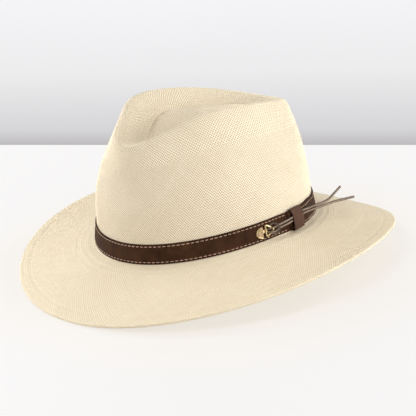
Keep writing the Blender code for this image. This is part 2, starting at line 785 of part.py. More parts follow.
def main():
    for made in list(bpy.data.objects):
        bpy.data.objects.remove(made)
    parts = collection("panama_hat")
    helpers = collection("cutters")

    straw = material("straw", (0.86, 0.76, 0.56), 0.62)
    straw_thread = material("straw_thread", (0.80, 0.70, 0.52), 0.7)
    band_leather = material("band_leather", (0.06, 0.032, 0.02), 0.6)
    keeper_leather = material("keeper_leather", (0.13, 0.07, 0.045), 0.75)
    lace_leather = material("lace_leather", (0.12, 0.09, 0.06), 0.6)
    stitching = material("stitching", (0.62, 0.48, 0.36), 0.7)
    brass = material("brass", (0.55, 0.42, 0.2), 0.35, 1.0)
    sweat_leather = material("sweat_leather", (0.42, 0.27, 0.15), 0.55)
    tape = material("tape", (0.10, 0.06, 0.04), 0.8)
    label = material("label", (0.8, 0.78, 0.72), 0.8)

    make_straw(straw, parts)
    make_hem_thread(straw_thread, parts)

    make_sweatband(sweat_leather, parts)
    make_sweatband_reed(sweat_leather, parts)
    make_sweatband_thread(stitching, parts)
    patch_out = SWEATBAND_OUT - SWEATBAND_LEATHER - GAP
    make_patch("sweatband_seam_tape", 175.5, 184.5, 3 * MM, 29 * MM, patch_out, 0.5 * MM, tape, parts)
    make_patch("size_label", 152, 164, 6 * MM, 18 * MM, patch_out, 0.3 * MM, label, parts)

    plate, prong_places = make_plate(brass, parts, helpers)
    make_band_strap(band_leather, prong_places, parts, helpers)
    make_band_stitch("band_stitch_lower", STITCH_INSET, stitching, parts)
    make_band_stitch("band_stitch_upper", BAND_WIDTH - STITCH_INSET, stitching, parts)

    flat, tilted = ring_frame()
    ring_pivot = empty_at("ring_pivot", flat.translation, parts)
    make_ring(brass, parts, ring_pivot, tilted)
    make_knot(lace_leather, parts, flat, ring_pivot)
    make_lace("lace_upper", 1, UPPER_TAIL, lace_leather, parts)
    make_lace("lace_lower", -1, LOWER_TAIL, lace_leather, parts)

    keeper_pivot = empty_at("keeper_pivot", keeper_axis(), parts)
    make_keeper(keeper_leather, parts, keeper_pivot)


main()
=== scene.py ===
"""The panama hat's looks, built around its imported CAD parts.

Metres, +Z up. The hat's front faces -Y and the wearer's left +X. Angles round the hat start at the front
centre and grow towards the wearer's left.
"""

import math

import bmesh
import bpy
import numpy as np
from mathutils import Matrix, Vector


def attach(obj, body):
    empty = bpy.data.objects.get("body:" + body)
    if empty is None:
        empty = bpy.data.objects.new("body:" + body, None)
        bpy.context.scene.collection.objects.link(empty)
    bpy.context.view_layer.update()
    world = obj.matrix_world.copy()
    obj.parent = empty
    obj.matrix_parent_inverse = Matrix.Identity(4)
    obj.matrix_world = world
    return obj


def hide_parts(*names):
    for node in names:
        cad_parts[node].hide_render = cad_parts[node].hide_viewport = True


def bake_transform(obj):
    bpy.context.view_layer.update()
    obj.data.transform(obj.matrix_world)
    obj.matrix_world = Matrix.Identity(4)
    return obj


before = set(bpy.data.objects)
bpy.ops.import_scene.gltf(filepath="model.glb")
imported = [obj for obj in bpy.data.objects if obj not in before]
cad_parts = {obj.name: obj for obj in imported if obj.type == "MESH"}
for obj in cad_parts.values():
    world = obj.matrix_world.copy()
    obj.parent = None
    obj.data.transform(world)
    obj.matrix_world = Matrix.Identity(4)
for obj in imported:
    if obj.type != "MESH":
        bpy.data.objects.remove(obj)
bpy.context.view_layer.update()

MM = 0.001

# The main view. The camera is rolled, so that the hat leans a little in it.
CAMERA_AZIMUTH = math.radians(46.78)
CAMERA_ELEVATION = math.radians(19.19)
CAMERA_ROLL = math.radians(-4.77)
CAMERA_DISTANCE = 1.0086
CAMERA_AIM = Vector((0.0089, -0.0058, 0.0450))
CAMERA_LENS = 100.45
TABLE_EDGE_AZIMUTH = math.radians(30)
TABLE_EDGE_DISTANCE = 0.330
BACKDROP_DISTANCE = 2.0
STAGE_REACH = 4

# Soft lights round the hat: name, azimuth and elevation in degrees, power in watts.
SOFT_LIGHTS = (
    ("right_key", 100, 12, 9.6),
    ("right_back", 130, 15, 3.0),
    ("back_high", 150, 30, 5.7),
    ("front_high", 0, 50, 7.0),
    ("front_low", -20, 15, 3.0),
    ("left_front", -40, 30, 1.5),
    ("left_low", -60, 12, 6.3),
    ("left_high", -90, 40, 3.4),
)
LIGHT_SIZE = 0.6
LIGHT_DISTANCE = 1.3
LIGHT_AIM = Vector((0, 0, 0.08))
WORLD_STRENGTH = 0.32
TABLE_GLOW = 0.66

# The hat's shape, as in the CAD part. CREASE_DIP and CREASE_WIDTH shape a groove that is only drawn here.
OVAL_HALF_WIDTH = 88 * MM
OVAL_HALF_LENGTH = 106 * MM
BAND_HEIGHT = 31.4 * MM
BAND_ARCH = 3.7 * MM
BAND_WIDTH = 16.5 * MM
WALL_LEAN = 0.15
LEATHER = 0.9 * MM
GAP = 0.3 * MM
STRAW = 1.2 * MM
WALL_OUT = -(LEATHER + GAP)
BRIM_WIDTH = 70 * MM
HEM_WIDTH = 9 * MM
HEM_THICKNESS = 2.2 * MM
FLAT_REST = 0.45 * MM
EDGE_WAVES = (13.7 * MM, -2.0 * MM, -12.8 * MM, 2.0 * MM, -0.9 * MM)
BRIM_SAG_SIDE = 6 * MM
BRIM_SAG_FRONT = -5 * MM
JUNCTION_DROP = 0.7 * MM
RIDGE_HEIGHT = 135.2 * MM
RIDGE_FORWARD = 9.3 * MM
RIDGE_SIDES = -4.2 * MM
RIDGE_FRONT_DIP = -22.5 * MM
RIDGE_BACK_DIP = -1.2 * MM
FRONT_DIP_SPREAD = 0.69
PINCH_ANGLE = 0.79
PINCH_SPREAD = 0.47
DENT_HALF_WIDTH = 29 * MM
DENT_HALF_LENGTH = 55 * MM
DENT_BACK_SHIFT = 7.7 * MM
DENT_FLOOR = 120.8 * MM
DENT_MIDDLE = 123.2 * MM
PINCH_DIP = 2.6 * MM
PINCH_DIP_ANGLE = 0.7
PINCH_DIP_SPREAD = 0.3
CREASE_PLACE = 0.825
CREASE_WIDTH = 0.018
CREASE_ANGLE = 1.05
CREASE_SPREAD = 0.75
CREASE_DIP = 2.4 * MM
FLOOR_RISE = 4.2 * MM
FLOOR_RISE_SPAN = 0.05
CROWN_BASIS_ROWS = 10
PLATE_ANGLE = 77.8
RING_ANGLE = 81.0
PLATE_HEIGHT = 7.6 * MM
RING_HEIGHT = 8.5 * MM
LACE_HEIGHT = 8.1 * MM
STRAP_END_ANGLE = 95.2
STRAP_END_SLANT = 1.2
STRAP_OVERLAP = 25.0
KEEPER_START = 97.2
KEEPER_END = 105.4
KEEPER_LIFT = 1.1 * MM
KEEPER_DROP = 1.5 * MM
KEEPER_LEATHER = 0.7 * MM
RING_HALF_HEIGHT = 5.4 * MM
RING_DEPTH = 7.5 * MM
RING_WIRE = 0.65 * MM
RING_CORNER = 0.9 * MM
RING_BAR_OUT = 1.5 * MM
RING_TILT = math.radians(15)
LACE_HALF_WIDTH = 1.1 * MM
LACE_HALF_THICKNESS = 0.8 * MM
KNOT_RADIUS = 0.82 * MM
LACE_SPACING = 2.7 * MM
STITCH_INSET = 1.9 * MM
SWEATBAND_LOW = -0.2 * MM
SWEATBAND_TOP = 31 * MM
SWEATBAND_STITCH = 1.6 * MM
SWEATBAND_LEATHER = 0.9 * MM
SWEATBAND_OUT = WALL_OUT - STRAW - GAP
REED_RADIUS = 0.8 * MM

# The weave: one bump for each strand that shows, in a grid turned 45 degrees to the brim.
WEAVE_PITCH = 1.12 * MM
WEAVE_DEPTH = 0.2 * MM
CROWN_COLUMNS = 540
CROWN_FOOT = -0.8
CROWN_LAST_RING = 0.985
CROWN_LAST_INNER_RING = 0.95
BRIM_COLUMNS = 576


# ---------------------------------------------------------------- camera and stage


def make_camera():
    turn, tip = CAMERA_AZIMUTH, CAMERA_ELEVATION
    back = Vector((math.sin(turn) * math.cos(tip), -math.cos(turn) * math.cos(tip), math.sin(tip)))
    right = Vector((math.cos(turn), math.sin(turn), 0))
    up = back.cross(right)
    rolled_right = math.cos(CAMERA_ROLL) * right + math.sin(CAMERA_ROLL) * up
    rolled_up = back.cross(rolled_right)
    data = bpy.data.cameras.new("camera")
    data.lens = CAMERA_LENS
    data.sensor_width = 36
    data.clip_start = 0.01
    camera = bpy.data.objects.new("camera", data)
    bpy.context.scene.collection.objects.link(camera)
    rotation = Matrix((rolled_right, rolled_up, back)).transposed().to_4x4()
    camera.matrix_world = Matrix.Translation(CAMERA_AIM + CAMERA_DISTANCE * back) @ rotation
    bpy.context.scene.camera = camera


def make_light(name, azimuth, elevation, power):
    """A round soft light that faces the hat."""
    data = bpy.data.lights.new(name, "AREA")
    data.shape = "DISK"
    data.size = LIGHT_SIZE
    data.energy = power
    light = bpy.data.objects.new(name, data)
    bpy.context.scene.collection.objects.link(light)
    level = math.cos(elevation)
    direction = Vector((math.sin(azimuth) * level, -math.cos(azimuth) * level, math.sin(elevation)))
    light.location = LIGHT_AIM + LIGHT_DISTANCE * direction
    light.rotation_euler = direction.to_track_quat("Z", "Y").to_euler()


def make_lights():
    for name, azimuth, elevation, power in SOFT_LIGHTS:
        make_light(name, math.radians(azimuth), math.radians(elevation), power)
    world = bpy.data.worlds.new("studio")
    world.use_nodes = True
    background = world.node_tree.nodes["Background"]
    background.inputs["Color"].default_value = (1.0, 1.0, 1.0, 1)
    background.inputs["Strength"].default_value = WORLD_STRENGTH
    bpy.context.scene.world = world
    bpy.context.scene.view_settings.view_transform = "Standard"


# ---------------------------------------------------------------- node helpers


class Nodes:
    """Short calls for building a material's node tree. A number or colour goes straight on its socket."""

    def __init__(self, name):
        self.material = bpy.data.materials.new(name)
        self.material.use_nodes = True
        self.tree = self.material.node_tree
        self.shader = self.tree.nodes["Principled BSDF"]

    def add(self, kind, inputs=None, output=0, **settings):
        node = self.tree.nodes.new(kind)
        for key, value in settings.items():
            setattr(node, key, value)
        for key, value in (inputs or {}).items():
            self.feed(node.inputs[key], value)
        return node.outputs[output]

    def feed(self, socket, value):
        if isinstance(value, bpy.types.NodeSocket):
            self.tree.links.new(value, socket)
        elif isinstance(value, tuple) and len(value) == 3 and socket.type == "RGBA":
            socket.default_value = (*value, 1)
        else:
            socket.default_value = value

    def math(self, operation, first, second=0.0, third=0.0):
        return self.add("ShaderNodeMath", {0: first, 1: second, 2: third}, operation=operation)

    def blend(self, share, first, second):
        node = self.tree.nodes.new("ShaderNodeMix")
        node.data_type = "RGBA"
        self.feed(node.inputs[0], share)
        self.feed(node.inputs[6], first)
        self.feed(node.inputs[7], second)
        return node.outputs[2]

    def scale(self, value, low, high, to_low, to_high):
        inputs = {0: value, 1: low, 2: high, 3: to_low, 4: to_high}
        return self.add("ShaderNodeMapRange", inputs)

    def noise(self, vector, scale, detail=2.0, roughness=0.5):
        inputs = {"Vector": vector, "Scale": scale, "Detail": detail, "Roughness": roughness}
        return self.add("ShaderNodeTexNoise", inputs)

    def split(self, vector):
        node = self.tree.nodes.new("ShaderNodeSeparateXYZ")
        self.feed(node.inputs[0], vector)
        return node.outputs

    def join(self, x=0.0, y=0.0, z=0.0):
        return self.add("ShaderNodeCombineXYZ", {0: x, 1: y, 2: z})

    def object_place(self):
        return self.add("ShaderNodeTexCoord", output=3)

    def uv(self, name):
        return self.add("ShaderNodeUVMap", uv_map=name)

    def bump(self, height, distance, strength=1.0):
        return self.add("ShaderNodeBump", {"Height": height, "Distance": distance, "Strength": strength})

    def finish(self, colour, roughness, normal=None, **constants):
        self.feed(self.shader.inputs["Base Color"], colour)
        self.feed(self.shader.inputs["Roughness"], roughness)
        if normal is not None:
            self.feed(self.shader.inputs["Normal"], normal)
        for key, value in constants.items():
            self.shader.inputs[key.replace("_", " ")].default_value = value
        return self.material


# ---------------------------------------------------------------- materials


def straw_material(name, colour, deep, gap_shade_colour, gap_shade_share, relief):
    """Two sets of straws cross at 45 degrees, with painted shade in the gaps between them and along their
    sides. UV map weave counts grid steps round and along the hat.
    """
    n = Nodes(name)
    u, v, _ = n.split(n.uv("weave"))
    p = n.math("MULTIPLY", n.math("ADD", u, v), 0.5)
    q = n.math("MULTIPLY", n.math("SUBTRACT", u, v), 0.5)
    cell_p, cell_q = n.math("ROUND", p), n.math("ROUND", q)
    along_p = n.math("SUBTRACT", p, cell_p)
    along_q = n.math("SUBTRACT", q, cell_q)
    over = n.math("PINGPONG", n.math("ADD", cell_p, cell_q), 1.0)
    strand_p = n.add("ShaderNodeTexWhiteNoise", {"W": cell_q}, noise_dimensions="1D")
    strand_q = n.add("ShaderNodeTexWhiteNoise", {"W": n.math("ADD", cell_p, 0.37)}, noise_dimensions="1D")
    tone = n.add("ShaderNodeMix", {0: over, 2: strand_p, 3: strand_q})
    across = n.add("ShaderNodeMix", {0: over, 2: along_q, 3: along_p})
    run = n.add("ShaderNodeMix", {0: over, 2: along_p, 3: along_q})
    place = n.object_place()
    drift = n.noise(place, 28.0, 3.0)
    base = n.blend(n.scale(tone, 0, 1, 0.0, 0.4), colour, deep)
    base = n.blend(n.scale(drift, 0.35, 0.7, 0.0, 0.25), base, deep)
    # Painted shade: the gaps where the straws cross are darkened.
    corner = n.math("MULTIPLY", n.math("ABSOLUTE", along_p), n.math("ABSOLUTE", along_q))
    gap_shade = n.scale(corner, 0.07, 0.21, 0.0, 1.0)
    base = n.blend(n.math("MULTIPLY", gap_shade, gap_shade_share), base, gap_shade_colour)
    # Painted shade: each straw darkens towards its sides, where it dips under its neighbours.
    side = n.scale(n.math("ABSOLUTE", across), 0.33, 0.5, 0.0, gap_shade_share * 0.6)
    base = n.blend(side, base, gap_shade_colour)
    fibre = n.noise(n.join(n.math("MULTIPLY", across, 9.0), n.math("MULTIPLY", run, 0.8), tone), 1.6, 2.0)
    round_height = n.math("COSINE", n.math("MULTIPLY", across, 2.4))
    height = n.math("MULTIPLY_ADD", fibre, 0.25, round_height)
    rough = n.scale(fibre, 0.3, 0.7, 0.5, 0.68)
    return n.finish(base, rough, n.bump(height, relief, 1.0), Specular_IOR_Level=0.35)


def leather_material(name, dark, light, grain, roughness, worn=None, shine=0.18):
    """Mottled leather with a fine grain. UV map place's second value is 0 where the leather is worn."""
    n = Nodes(name)
    place = n.object_place()
    mottle = n.noise(place, 95.0, 4.0, 0.6)
    broad = n.noise(place, 22.0, 2.0)
    colour = n.blend(n.scale(mottle, 0.32, 0.68, 0.0, 1.0), dark, light)
    colour = n.blend(n.scale(broad, 0.35, 0.65, 0.0, 0.45), colour, dark)
    if worn is not None:
        _, v, _ = n.split(n.uv("place"))
        edge = n.math("ABSOLUTE", n.math("SUBTRACT", v, 0.5))
        colour = n.blend(n.scale(edge, 0.45, 0.5, 0.0, 0.7), colour, worn)
    cells = n.add("ShaderNodeTexVoronoi", {"Vector": place, "Scale": grain}, feature="DISTANCE_TO_EDGE")
    pores = n.noise(place, grain * 1.7, 3.0)
    height = n.math("MULTIPLY_ADD", pores, 0.6, n.scale(cells, 0.0, 0.12, 0.0, 1.0))
    rough = n.scale(mottle, 0.3, 0.7, roughness - 0.08, roughness + 0.1)
    return n.finish(colour, rough, n.bump(height, 0.00012, 0.9), Specular_IOR_Level=shine)


def lace_material(name, raw_edge_and_shade_colour, dark, light):
    """A leather lace cut from a hide: taupe grain on the faces, and darker edges above and below that are
    partly its raw cut edges and partly painted shade, leaving a painted highlight along its faces.
    """
    n = Nodes(name)
    place = n.object_place()
    _, v, _ = n.split(n.uv("place"))
    mottle = n.noise(place, 350.0, 3.0)
    colour = n.blend(n.scale(mottle, 0.3, 0.7, 0.0, 1.0), dark, light)
    # Darker at the lace's upper and lower edges: partly its raw cut edges, partly painted shade.
    edge = n.math("ABSOLUTE", n.math("COSINE", n.math("MULTIPLY", v, math.tau)))
    colour = n.blend(n.scale(edge, 0.35, 0.75, 0.0, 1.0), colour, raw_edge_and_shade_colour)
    grain = n.noise(place, 2200.0, 3.0)
    return n.finish(colour, n.scale(mottle, 0.3, 0.7, 0.5, 0.68), n.bump(grain, 0.00006, 0.6))


def thread_material(name, colour, deep):
    n = Nodes(name)
    place = n.object_place()
    twist = n.add("ShaderNodeTexWave", {"Vector": place, "Scale": 900.0, "Distortion": 2.0})
    tone = n.noise(place, 300.0, 2.0)
    base = n.blend(n.scale(tone, 0.3, 0.7, 0.0, 1.0), colour, deep)
    return n.finish(base, n.scale(tone, 0.3, 0.7, 0.6, 0.8), n.bump(twist, 0.00005, 0.6), Sheen_Weight=0.2)


def brass_material(name, bright, patina_colour):
    """Antique brass: bright where it is handled, brown and dull in the hollows."""
    n = Nodes(name)
    place = n.object_place()
    patina = n.noise(place, 600.0, 4.0, 0.6)
    worn = n.scale(patina, 0.42, 0.68, 0.0, 0.8)
    colour = n.blend(worn, bright, patina_colour)
    scratch = n.noise(place, 1500.0, 3.0)
    return n.finish(
        colour, n.scale(patina, 0.35, 0.65, 0.24, 0.48), n.bump(scratch, 0.00003, 0.5), Metallic=1.0
    )


def cloth_material(name, colour, deep, pitch):
    n = Nodes(name)
    place = n.object_place()
    x, y, z = n.split(place)
    turn = n.math("MULTIPLY", n.math("ARCTAN2", x, y), 0.105)
    warp = n.math("SINE", n.math("MULTIPLY", turn, math.tau / pitch))
    weft = n.math("SINE", n.math("MULTIPLY", z, math.tau / pitch))
    height = n.math("MULTIPLY", warp, weft)
    base = n.blend(n.scale(height, -1, 1, 0.0, 0.8), deep, colour)
    tone = n.noise(place, 60.0, 2.0)
    return n.finish(base, n.scale(tone, 0.3, 0.7, 0.72, 0.9), n.bump(height, 0.00008, 0.7), Sheen_Weight=0.2)


def stage_material(name, colour, roughness, glow):
    """A white table. Most of its light is its own glow, warmer near the hat, so shadows on it stay pale."""
    n = Nodes(name)
    drift = n.noise(n.object_place(), 3.0, 2.0)
    base = n.blend(n.scale(drift, 0.3, 0.7, 0.0, 0.05), colour, (0.16, 0.16, 0.163))
    x, y, _ = n.split(n.object_place())
    near = n.math("SQRT", n.math("ADD", n.math("MULTIPLY", x, x), n.math("MULTIPLY", y, y)))
    glow_colour = n.blend(n.scale(near, 0.12, 0.26, 0.0, 1.0), (1.05, 0.99, 0.9), (1, 0.985, 0.975))
    n.feed(n.shader.inputs["Emission Color"], glow_colour)
    n.shader.inputs["Emission Strength"].default_value = glow
    return n.finish(base, roughness, Specular_IOR_Level=0.2)


# ---------------------------------------------------------------- curves of the hat


def smooth(start, end, value):
    u = np.clip((np.asarray(value, float) - start) / (end - start), 0, 1)
    return u * u * (3 - 2 * u)


def plateau(first, second, third, fourth, value):
    return smooth(first, second, value) * (1 - smooth(third, fourth, value))


def bell(angle, centre, spread):
    a = np.abs((angle + np.pi) % (2 * np.pi) - np.pi)
    return np.exp(-(((a - centre) / spread) ** 2)) + np.exp(-(((a + centre) / spread) ** 2))


def band_line(angle):
    return BAND_HEIGHT - BAND_ARCH * np.cos(2 * angle)


def edge_line(angle):
    turns = np.arange(len(EDGE_WAVES))
    wave = np.cos(np.multiply.outer(angle, turns)) @ np.array(EDGE_WAVES)
    return np.maximum(wave - FLAT_REST, 0)


def keeper_drop(angle):
    return JUNCTION_DROP + KEEPER_DROP * plateau(88, 95, 111, 118, np.degrees(angle) % 360)


def oval(angle, out, height):
    angle = np.asarray(angle, float)
    normal = np.stack([np.sin(angle) / OVAL_HALF_WIDTH, -np.cos(angle) / OVAL_HALF_LENGTH], -1)
    normal /= np.linalg.norm(normal, axis=-1, keepdims=True)
    plan = np.stack([OVAL_HALF_WIDTH * np.sin(angle), -OVAL_HALF_LENGTH * np.cos(angle)], -1)
    plan = plan + normal * (np.zeros_like(angle) + out)[..., None]
    return np.concatenate([plan, (np.zeros_like(angle) + height)[..., None]], -1)


def on_band(angle, height, out=0.0):
    return oval(angle, out - WALL_LEAN * height, band_line(np.asarray(angle, float)) + height)


def ring(angle, half_width, half_length, shift, height, scale=1.0):
    x = half_width * scale * np.sin(angle)
    y = shift - half_length * scale * np.cos(angle)
    return np.stack([x, y, np.zeros_like(angle) + height], -1)


def bspline_basis(v):
    """Clamped cubic B-spline weights of the crown's control rows at each v from 0 to 1."""
    rows = CROWN_BASIS_ROWS
    knots = np.concatenate([np.zeros(3), np.arange(rows - 2), np.full(3, rows - 3)]).astype(float)
    v = np.clip(np.atleast_1d(v), 0, 1) * (rows - 3 - 1e-9)
    basis = ((v[:, None] >= knots[:-1]) & (v[:, None] < knots[1:])).astype(float)
    for degree in (1, 2, 3):
        count = len(knots) - degree - 1
        left = knots[degree : degree + count] - knots[:count]
        right = knots[degree + 1 : degree + 1 + count] - knots[1 : 1 + count]
        rise = (v[:, None] - knots[:count]) / np.where(left > 0, left, 1) * (left > 0)
        ahead = knots[degree + 1 : degree + 1 + count] - v[:, None]
        fall = ahead / np.where(right > 0, right, 1) * (right > 0)
        basis = rise * basis[:, :count] + fall * basis[:, 1 : count + 1]
    return basis


def crown_control_rows(angle):
    pinch = bell(angle, PINCH_ANGLE, PINCH_SPREAD)
    ridge = (
        RIDGE_HEIGHT
        + RIDGE_FORWARD * np.cos(angle)
        + RIDGE_SIDES * np.cos(2 * angle)
        + RIDGE_FRONT_DIP * bell(angle, 0, FRONT_DIP_SPREAD) / 2
        + RIDGE_BACK_DIP * bell(angle, np.pi, 0.7)
        - PINCH_DIP * bell(angle, PINCH_DIP_ANGLE, PINCH_DIP_SPREAD)
    )
    turn = (angle + np.pi) % (2 * np.pi) - np.pi
    front = np.exp(-((turn / 0.6) ** 2))
    back = np.exp(-(((np.abs(turn) - np.pi) / 0.7) ** 2))
    side = 1 - front - back
    wall_foot = band_line(angle) + BAND_WIDTH
    shoulder = ridge - 6 * MM
    lower = wall_foot + (shoulder - wall_foot) * 0.40
    upper = wall_foot + (shoulder - wall_foot) * 0.75
    dent_wall = ridge - (17.6 * side + 4.4 * front + 4.8 * back) * MM
    floor = DENT_FLOOR - 6.1 * MM * front
    return np.stack(
        [
            on_band(angle, BAND_WIDTH, WALL_OUT),
            on_band(angle, BAND_WIDTH + 9 * MM, WALL_OUT + 0.9 * MM),
            ring(angle, 83.5 * MM, 99.9 * MM, -1.3 * MM, lower),
            ring(angle, 73.9 * MM, 94.6 * MM, 1.9 * MM, upper, 1 - 0.044 * pinch),
            ring(angle, 62.1 * MM, 92.6 * MM, 1.0 * MM, shoulder, 1 - 0.111 * pinch),
            ring(angle, 58.1 * MM, 88.6 * MM, 1.0 * MM, ridge + 4 * MM, 1 - 0.115 * pinch),
            ring(angle, 48.2 * MM, 78.7 * MM, 1.0 * MM, ridge + 1 * MM, 1 - 0.115 * pinch),
            ring(angle, DENT_HALF_WIDTH, DENT_HALF_LENGTH, DENT_BACK_SHIFT, dent_wall),
            ring(angle, DENT_HALF_WIDTH / 2, DENT_HALF_LENGTH / 2, DENT_BACK_SHIFT, floor),
            ring(angle, 0, 0, DENT_BACK_SHIFT, DENT_MIDDLE),
        ]
    )


def crown_point(angle, v):
    """Outer face of the crown. From v = 0 down to -1 it is the straight wall behind the band."""
    if v < 0:
        return on_band(angle, BAND_WIDTH * (1 + v), WALL_OUT)
    points = np.einsum("r,rac->ac", bspline_basis(v)[0], crown_control_rows(angle))
    points[:, 2] += crease(angle, v)
    return points


def crease(angle, v):
    """The dent's floor stands a little proud inside a fold, which is sharpest to either side of the front."""
    fold = np.exp(-(((v - CREASE_PLACE) / CREASE_WIDTH) ** 2))
    sharpness = 0.3 + 0.7 * bell(angle, CREASE_ANGLE, CREASE_SPREAD)
    return FLOOR_RISE * smooth(CREASE_PLACE, CREASE_PLACE + FLOOR_RISE_SPAN, v) - CREASE_DIP * fold * sharpness


def brim_point(angle, share):
    start = band_line(angle) - keeper_drop(angle) - 0.2 * MM
    end = edge_line(angle) + HEM_THICKNESS
    reach = np.sqrt(BRIM_WIDTH**2 - (end - start) ** 2)
    sag = BRIM_SAG_SIDE * np.sin(angle) ** 2 + BRIM_SAG_FRONT * np.cos(angle) ** 2
    height = start + (end - start) * share + sag * (share**2 - share)
    return oval(angle, reach * share, height)


# ---------------------------------------------------------------- mesh helpers


def circle_angles(count):
    return np.arange(count) * 2 * np.pi / count


def build_mesh(name, points, faces, uv_name=None, uvs=None):
    mesh = bpy.data.meshes.new(name)
    mesh.from_pydata(np.asarray(points).tolist(), [], faces)
    if uvs is not None:
        layer = mesh.uv_layers.new(name=uv_name)
        layer.data.foreach_set("uv", np.asarray(uvs, np.float32).ravel())
    shape = bmesh.new()
    shape.from_mesh(mesh)
    bmesh.ops.recalc_face_normals(shape, faces=shape.faces)
    shape.to_mesh(mesh)
    shape.free()
    made = bpy.data.objects.new(name, mesh)
    bpy.context.scene.collection.objects.link(made)
    mesh.shade_smooth()
    return made


def stitch_rings(rings, flip=False):
    """A skin over rings of any counts. Each ring is (points, v). A row's UV is its column and v.

    Rings of the same count are joined by squares and others by triangles that advance round both rings.
    """
    faces, uvs, sb = [], [], 0

    def add(face, corner):
        faces.append(face[::-1] if flip else face)
        uvs.extend(corner[::-1] if flip else corner)

    for (near, va), (far, vb) in zip(rings, rings[1:]):
        a, b = len(near), len(far)
        sa, sb = sb, sb + a
        if a == b:
            for i in range(a):
                j = (i + 1) % a
                add([sa + i, sa + j, sb + j, sb + i], [(i, va), (i + 1, va), (i + 1, vb), (i, vb)])
            continue
        i = j = 0
        while i < a or j < b:
            if j >= b or (i < a and (i + 1) / a <= (j + 1) / b):
                face = [sa + i % a, sa + (i + 1) % a, sb + j % b]
                corner = [(i, va), (i + 1, va), (j * a / b, vb)]
                i += 1
            else:
                face = [sa + i % a, sb + (j + 1) % b, sb + j % b]
                corner = [(i, va), ((j + 1) * a / b, vb), (j * a / b, vb)]
                j += 1
            add(face, corner)
    return np.concatenate([points for points, _ in rings]), faces, uvs


def close_with_fan(points, faces, uvs, first, count, pole, v, flip=False):
    """Closes a ring of the mesh with a fan to a pole."""
    points = np.concatenate([points, np.asarray(pole, float)[None]])
    tip = len(points) - 1
    for i in range(count):
        face = [first + i, first + (i + 1) % count, tip]
        corner = [(i, v), (i + 1, v), (i + 0.5, v + 1)]
        faces.append(face[::-1] if flip else face)
        uvs.extend(corner[::-1] if flip else corner)
    return points, faces, uvs


def surface_frame(shape, angle, place, step=1e-3):
    """Points and unit normals of shape(angle, place), by differences along it and round it."""
    here = shape(angle, place)
    turn = shape(angle + step, place) - shape(angle - step, place)
    run = shape(angle, place + step) - shape(angle, place - step)
    normal = np.cross(turn, run)
    length = np.linalg.norm(normal, axis=1, keepdims=True)
    return here, normal / np.where(length > 0, length, 1)


def woven_rings(shape, first, last, columns, coarsen, finest, pitch):
    """Rings of shape between two places, spaced so that the weave's squares stay square, with woven relief.

    Columns drop (or grow) by coarsen whenever the squares get smaller (or larger) than finest allows.
    """
    probe = np.linspace(first, last, 600)
    angle = circle_angles(120)
    rings_at = np.stack([shape(angle, place) for place in probe])
    around = np.linalg.norm(np.roll(rings_at, -1, 1) - rings_at, axis=2).sum(1)
    along = np.concatenate([[0], np.cumsum(np.linalg.norm(np.diff(rings_at, axis=0), axis=2).mean(1))])
    rings, travelled, row = [], 0.0, 0
    while travelled <= along[-1]:
        size = np.interp(travelled, along, around)
        square = size / columns
        if coarsen < 1 and square < finest * pitch and columns * coarsen > 12:
            columns = int(columns * coarsen / 2) * 2
        elif coarsen > 1 and square > finest * pitch:
            columns = int(columns * coarsen / 2) * 2
        place = float(np.interp(travelled, along, probe))
        points, normals = surface_frame(shape, circle_angles(columns), place)
        sign = np.where((np.arange(columns) + row) % 2 == 0, 1.0, -1.0)
        square = size / columns
        depth = WEAVE_DEPTH * min(square / pitch, 1.2)
        rings.append((points + normals * (sign * depth)[:, None], row))
        travelled += square
        row += 1
    return rings


def make_crown(surface):
    """The woven crown, from behind the band over the ridge to the middle of the dent, and its inner face."""
    outer = woven_rings(crown_point, CROWN_FOOT, CROWN_LAST_RING, CROWN_COLUMNS, 0.8, 0.86, WEAVE_PITCH)
    points, faces, uvs = stitch_rings(outer)
    last = len(outer[-1][0])
    pole = np.array([0, DENT_BACK_SHIFT, DENT_MIDDLE + FLOOR_RISE])
    points, faces, uvs = close_with_fan(points, faces, uvs, len(points) - last, last, pole, outer[-1][1])

    inner = []
    for row, place in enumerate(np.linspace(CROWN_FOOT, CROWN_LAST_INNER_RING, 60)):
        count = 180 if place < 0.8 else 60
        ring_points, normals = surface_frame(crown_point, circle_angles(count), place)
        inner.append((ring_points - normals * STRAW, row * 2))
    inside, inside_faces, inside_uvs = stitch_rings(inner, flip=True)
    last = len(inner[-1][0])
    low_pole = pole - np.array([0, 0, STRAW])
    start = len(inside) - last
    inside, inside_faces, inside_uvs = close_with_fan(
        inside, inside_faces, inside_uvs, start, last, low_pole, inner[-1][1], flip=True
    )
    _, rim_faces, rim_uvs = stitch_rings([outer[0], inner[0]], flip=True)
    offset = len(points)
    faces += [[i + offset for i in face] for face in inside_faces]
    uvs += inside_uvs
    inner_start = offset - len(outer[0][0])
    faces += [[i if i < len(outer[0][0]) else i + inner_start for i in face] for face in rim_faces]
    uvs += rim_uvs
    made = build_mesh("straw_crown", np.concatenate([points, inside]), faces, "weave", uvs)
    return place_piece(made, surface, "hat", "straw", "straw_body")


# Places on the brim are shares of its width, from 0 behind the band to 1 at its edge.
BRIM_FOOT = 0.06
HEM_SEAM = 0.873
HEM_SEAM_WIDTH = 0.009
HEM_STEP_START = 0.868
HEM_STEP_END = 0.876
RIPPLE_HEIGHT = 0.12 * MM
RIPPLE_TURNS = 70
EDGE_RADIUS = HEM_THICKNESS / 2


